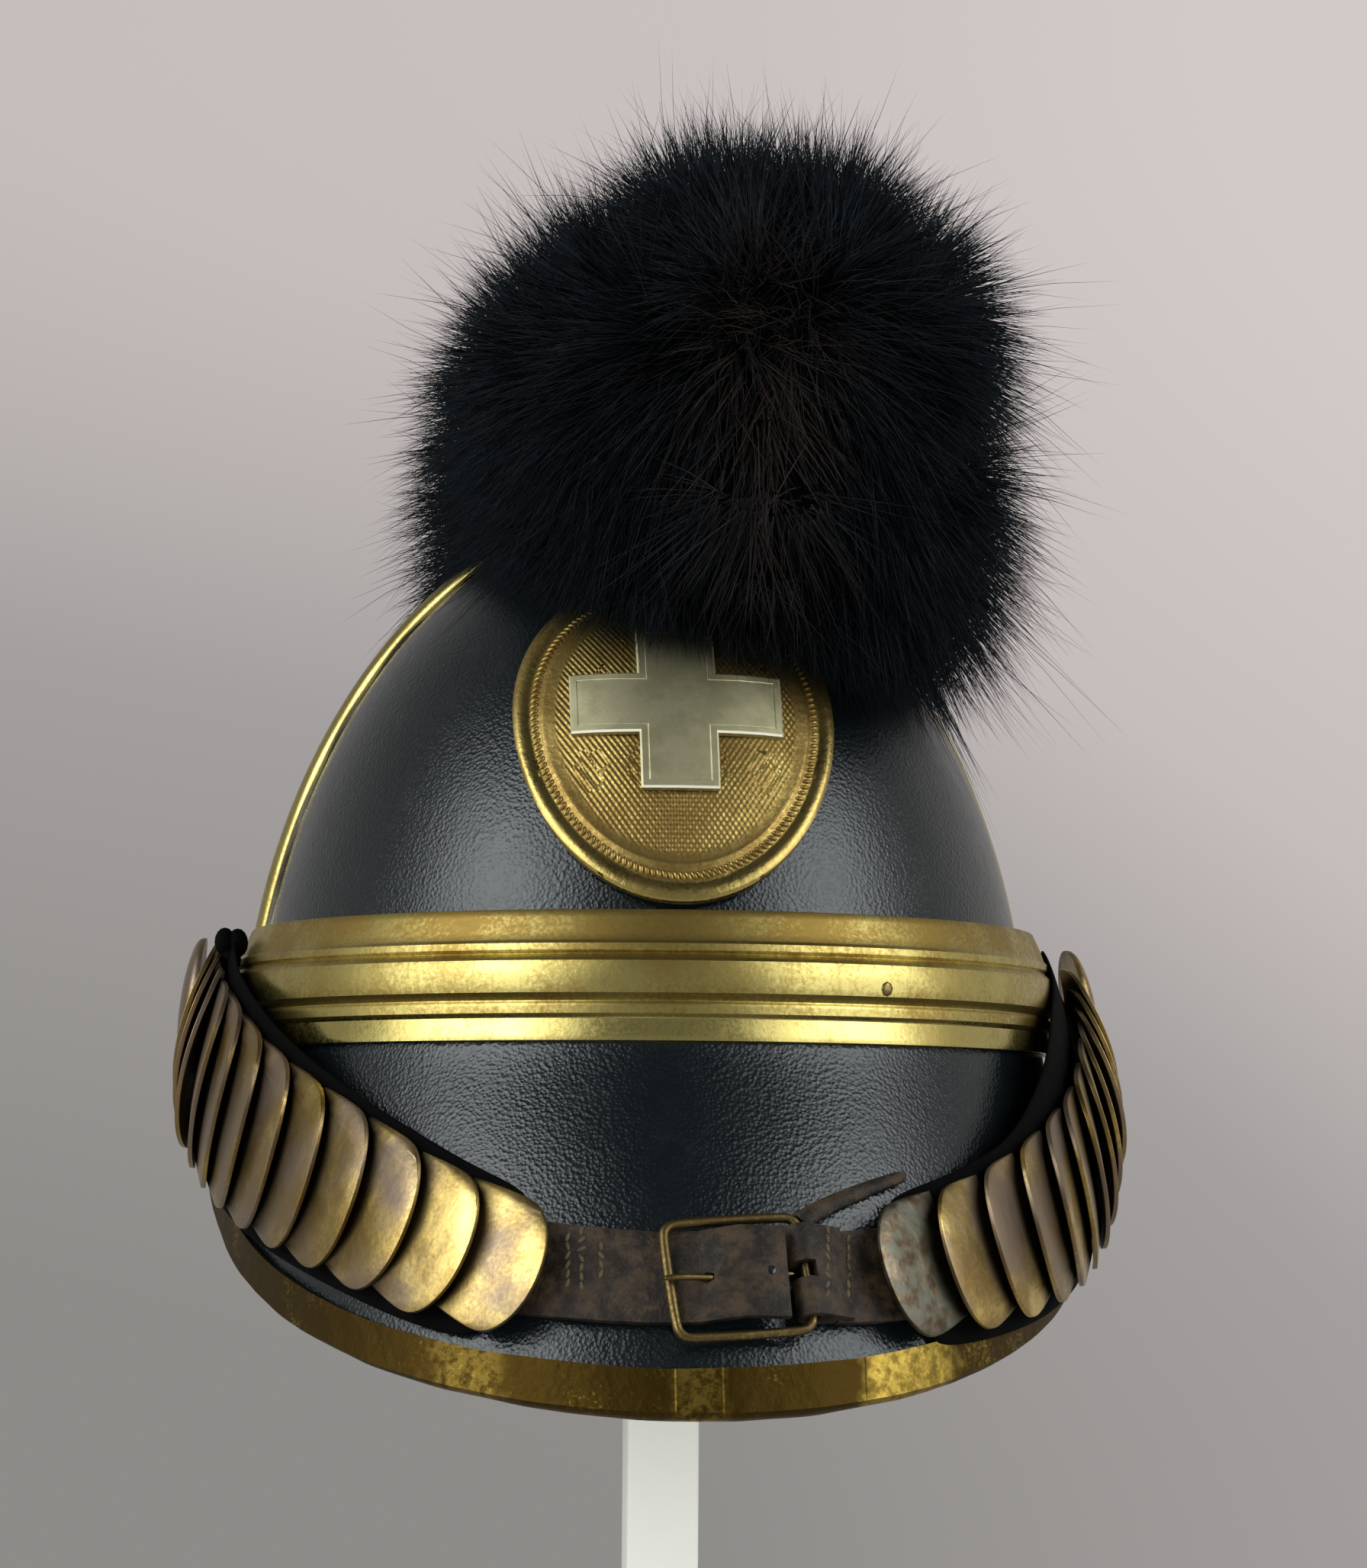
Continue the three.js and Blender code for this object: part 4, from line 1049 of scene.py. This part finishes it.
def grow_hairs(count, length, spread, thickness):
    """Hair lines of four points each, their thickness, their brown and shine, and their place on the roll."""
    place, angle = sample_roll(count)
    skin = on_roll(place, angle)
    normal = outward_of(place, angle)
    front = ramp(skin[:, 1], -55, -90)[:, None]
    root = clear_of_dome(skin - normal * ROOT_DEPTH, 1.5)
    heads = rng.choice(count, max(count // HAIRS_IN_LOCK, 1), replace=False)
    nearest = np.empty(count, int)
    for start in range(0, count, 2000):
        gaps = np.linalg.norm(root[start:start + 2000, None] - root[heads][None], axis=2)
        nearest[start:start + 2000] = heads[gaps.argmin(1)]

    comb = combing(skin + rng.normal(0, 5, skin.shape))
    beside = np.exp(-((skin[:, 0] - PARTING_SIDE) / 9) ** 2)
    brown = beside * np.exp(-((skin[:, 2] - 130) / 26) ** 2) * rng.random(count)[nearest]
    whorl = (beside ** 0.4 * np.exp(-((skin[:, 2] - 148) / 18) ** 2))[:, None] * front
    comb = (comb - normal * (comb * normal).sum(1, keepdims=True)) * front * (1.1 - 0.7 * whorl)
    hang = np.clip(1.1 - 1.3 * normal[:, 2:], 0.1, 1)
    down = np.array([0, 0, -1.0]) * 0.20 * hang
    of_lock = np.clip(rng.normal(0, 0.26, (count, 3)), -0.34, 0.34)[nearest]
    sway = (rng.normal(0, spread, (count, 3)) + of_lock) * (1 + whorl)
    grain = unit(normal * (1 - 0.4 * front) + comb + down + sway)
    longer = 1 + 0.3 * ramp(skin[:, 0], 25, 45) * ramp(skin[:, 2], 125, 105)
    size = (length * longer * rng.uniform(0.7, 1.15, count))[:, None] * (1 - 0.3 * whorl)
    droop = np.array([0, 0, -0.34]) * hang + rng.normal(0, 0.16, (count, 3)) + comb * 0.12
    steps = np.array([0, 0.36, 0.7, 1.0])
    lines = root[:, None] + size[:, None] * (
        grain[:, None] * steps[:, None] + droop[:, None] * (steps ** 2)[:, None] * 0.6)
    pull = rng.uniform(0.12, 0.55, count)[:, None]
    lines += (lines[nearest, 3] - lines[:, 3])[:, None] * pull[:, None] * (steps ** 1.6)[:, None]

    tip = lines[:, 3]
    edge = np.interp(tip[:, 0], *FUR_EDGE.T)
    edge += rng.normal(0, 2, count) - rng.exponential(1.5, count)
    drop = np.maximum(root[:, 2] - tip[:, 2], 0.1)
    kept = np.where((tip[:, 1] < -45) & (tip[:, 2] < edge), np.clip((root[:, 2] - edge) / drop, 0.3, 1), 1)
    lines = root[:, None] + (lines - root[:, None]) * kept[:, None, None]

    over_plate = (np.abs(lines[..., 0]) < 40) & (lines[..., 1] < -50) & (lines[..., 2] < 112)
    lines = clear_of_dome(lines, np.where(over_plate, 6.5, 2.6))
    whole = np.linalg.norm(lines[:, 3] - lines[:, 0], axis=1) > SHORTEST
    brown = np.clip(brown * front[:, 0] * rng.uniform(0.4, 1.2, count) + rng.normal(0.03, 0.04, count), 0, 1)
    # Shine is a painted highlight: a few strands, more in some locks, get a lighter colour.
    shine = rng.random(count) ** 3 * (0.25 + 0.75 * rng.random(count)[nearest])
    tones = np.stack([brown, shine], 1)
    return lines[whole], thickness * rng.uniform(0.7, 1.2, whole.sum()), tones[whole], place[whole]


print("hairs", HAIRS)


# %% Hairs as spikes
def hair_piece(name, lines, thickness, tones):
    """Closed three-sided spikes along hair lines."""
    count = len(lines)
    run = unit(lines[:, 3] - lines[:, 0])
    one = unit(np.cross(run, rng.normal(size=(count, 3))))
    other = np.cross(run, one)
    width = np.array([1.0, 0.85, 0.5])
    points = np.empty((count, 10, 3))
    for ring in range(3):
        for side in range(3):
            turn = side * 2 * pi / 3
            offset = one * cos(turn) + other * sin(turn)
            points[:, ring * 3 + side] = lines[:, ring] + offset * (thickness * width[ring] / 2)[:, None]
    points[:, 9] = lines[:, 3]
    faces = [(2, 1, 0)] + halved(ring_faces(3, 3)) + [(6, 7, 9), (7, 8, 9), (8, 6, 9)]
    every = (np.array(faces)[None] + 10 * np.arange(count)[:, None, None]).reshape(-1, 3)
    world = (points.reshape(-1, 3) + np.array([0, 0, LIFT])) * MM
    piece = as_piece(name, world, every.tolist())
    for column, title in enumerate(("hair_brown", "hair_shine")):
        attribute = piece.data.attributes.new(title, "FLOAT", "POINT")
        attribute.data.foreach_set("value", np.repeat(tones[:, column], 10).astype(np.float32))
    return piece


# %% Fur finishes and pieces
at = new_finish("fur hair")
brown = at.node("Attribute", out="Fac", attribute_name="hair_brown")
shine = at.node("Attribute", out="Fac", attribute_name="hair_shine")
streak = at.noise(3)
# Painted sheen: noisy patches and the shining strands get a lighter blue-grey base colour, standing for highlights
# on the hairs.
sheen = at.noise(4, detail=4, rough=0.7).between(0.50, 0.74) * 0.35 + shine
black = sheen.mix(rgb(0.0006, 0.0010, 0.0014), rgb(0.018, 0.021, 0.024))
colour = brown.mix(black, rgb(0.060, 0.038, 0.025))
fur_hair = close_finish(at, Base_Color=colour, Roughness=0.36 + streak * 0.2,
                       Specular_IOR_Level=0.20, Specular_Tint=rgb(0.40, 0.72, 1.0))

# The pelt is near black and without shine, so the gaps between hairs read as deep shade: a real hide, with that
# shade painted in.
at = new_finish("fur pelt")
skin_tone = at.noise(4).mix(rgb(0.0008, 0.0008, 0.0009), rgb(0.0020, 0.0018, 0.0016))
pelt_and_shade = close_finish(at, Base_Color=skin_tone, Roughness=1.0, Specular_IOR_Level=0.02)

*hairs, place = grow_hairs(HAIRS, length=27, spread=0.30, thickness=0.40)
# The rows at which the hairs are split into pieces, so that none is too large.
SPLITS = [0, 2.6, 3.5, 4.6, 6.4, LAST + 1]
for number, (low, high) in enumerate(zip(SPLITS[:-1], SPLITS[1:]), 1):
    chosen = (place >= low) & (place < high)
    piece = hair_piece(f"fur_hairs_{number}", *(values[chosen] for values in hairs))
    dress(piece, fur_hair, "fur", *(("fur_crest",) if number == 1 else ()))

*wisps, _ = grow_hairs(HAIRS // 14, length=39, spread=0.36, thickness=0.26)
dress(hair_piece("fur_wisps", *wisps), fur_hair, "fur")

# %% Pelt under the hairs
RINGS, SPOKES = 40, 48
END_REACH = np.array([0, 10.0, 0])
rows = np.linspace(0, LAST, RINGS)
turns = np.linspace(0, 2 * pi, SPOKES, endpoint=False)
grid = np.stack([on_roll(rows, np.full(RINGS, turn)) for turn in turns], 1)
outward = np.stack([outward_of(rows, np.full(RINGS, turn)) for turn in turns], 1)
shrunk = grid - outward * np.minimum(10, along_roll(rows)[:, 2] * 0.6 + 4)[:, None, None]
shrunk[0] = shrunk[0].mean(0) + END_REACH
shrunk[-1] = shrunk[-1].mean(0) - END_REACH
shrunk = clear_of_dome(shrunk, 1.2)
points = np.concatenate([shrunk.reshape(-1, 3), shrunk[0].mean(0)[None], shrunk[-1].mean(0)[None]])
front_end = RINGS * SPOKES
last_ring = front_end - SPOKES
faces = halved(ring_faces(RINGS, SPOKES))
for spoke in range(SPOKES):
    after = (spoke + 1) % SPOKES
    faces += [(after, spoke, front_end), (last_ring + spoke, last_ring + after, front_end + 1)]
pelt = as_piece("fur_pelt", (points + np.array([0, 0, LIFT])) * MM, faces)
dress(pelt, pelt_and_shade, "fur")
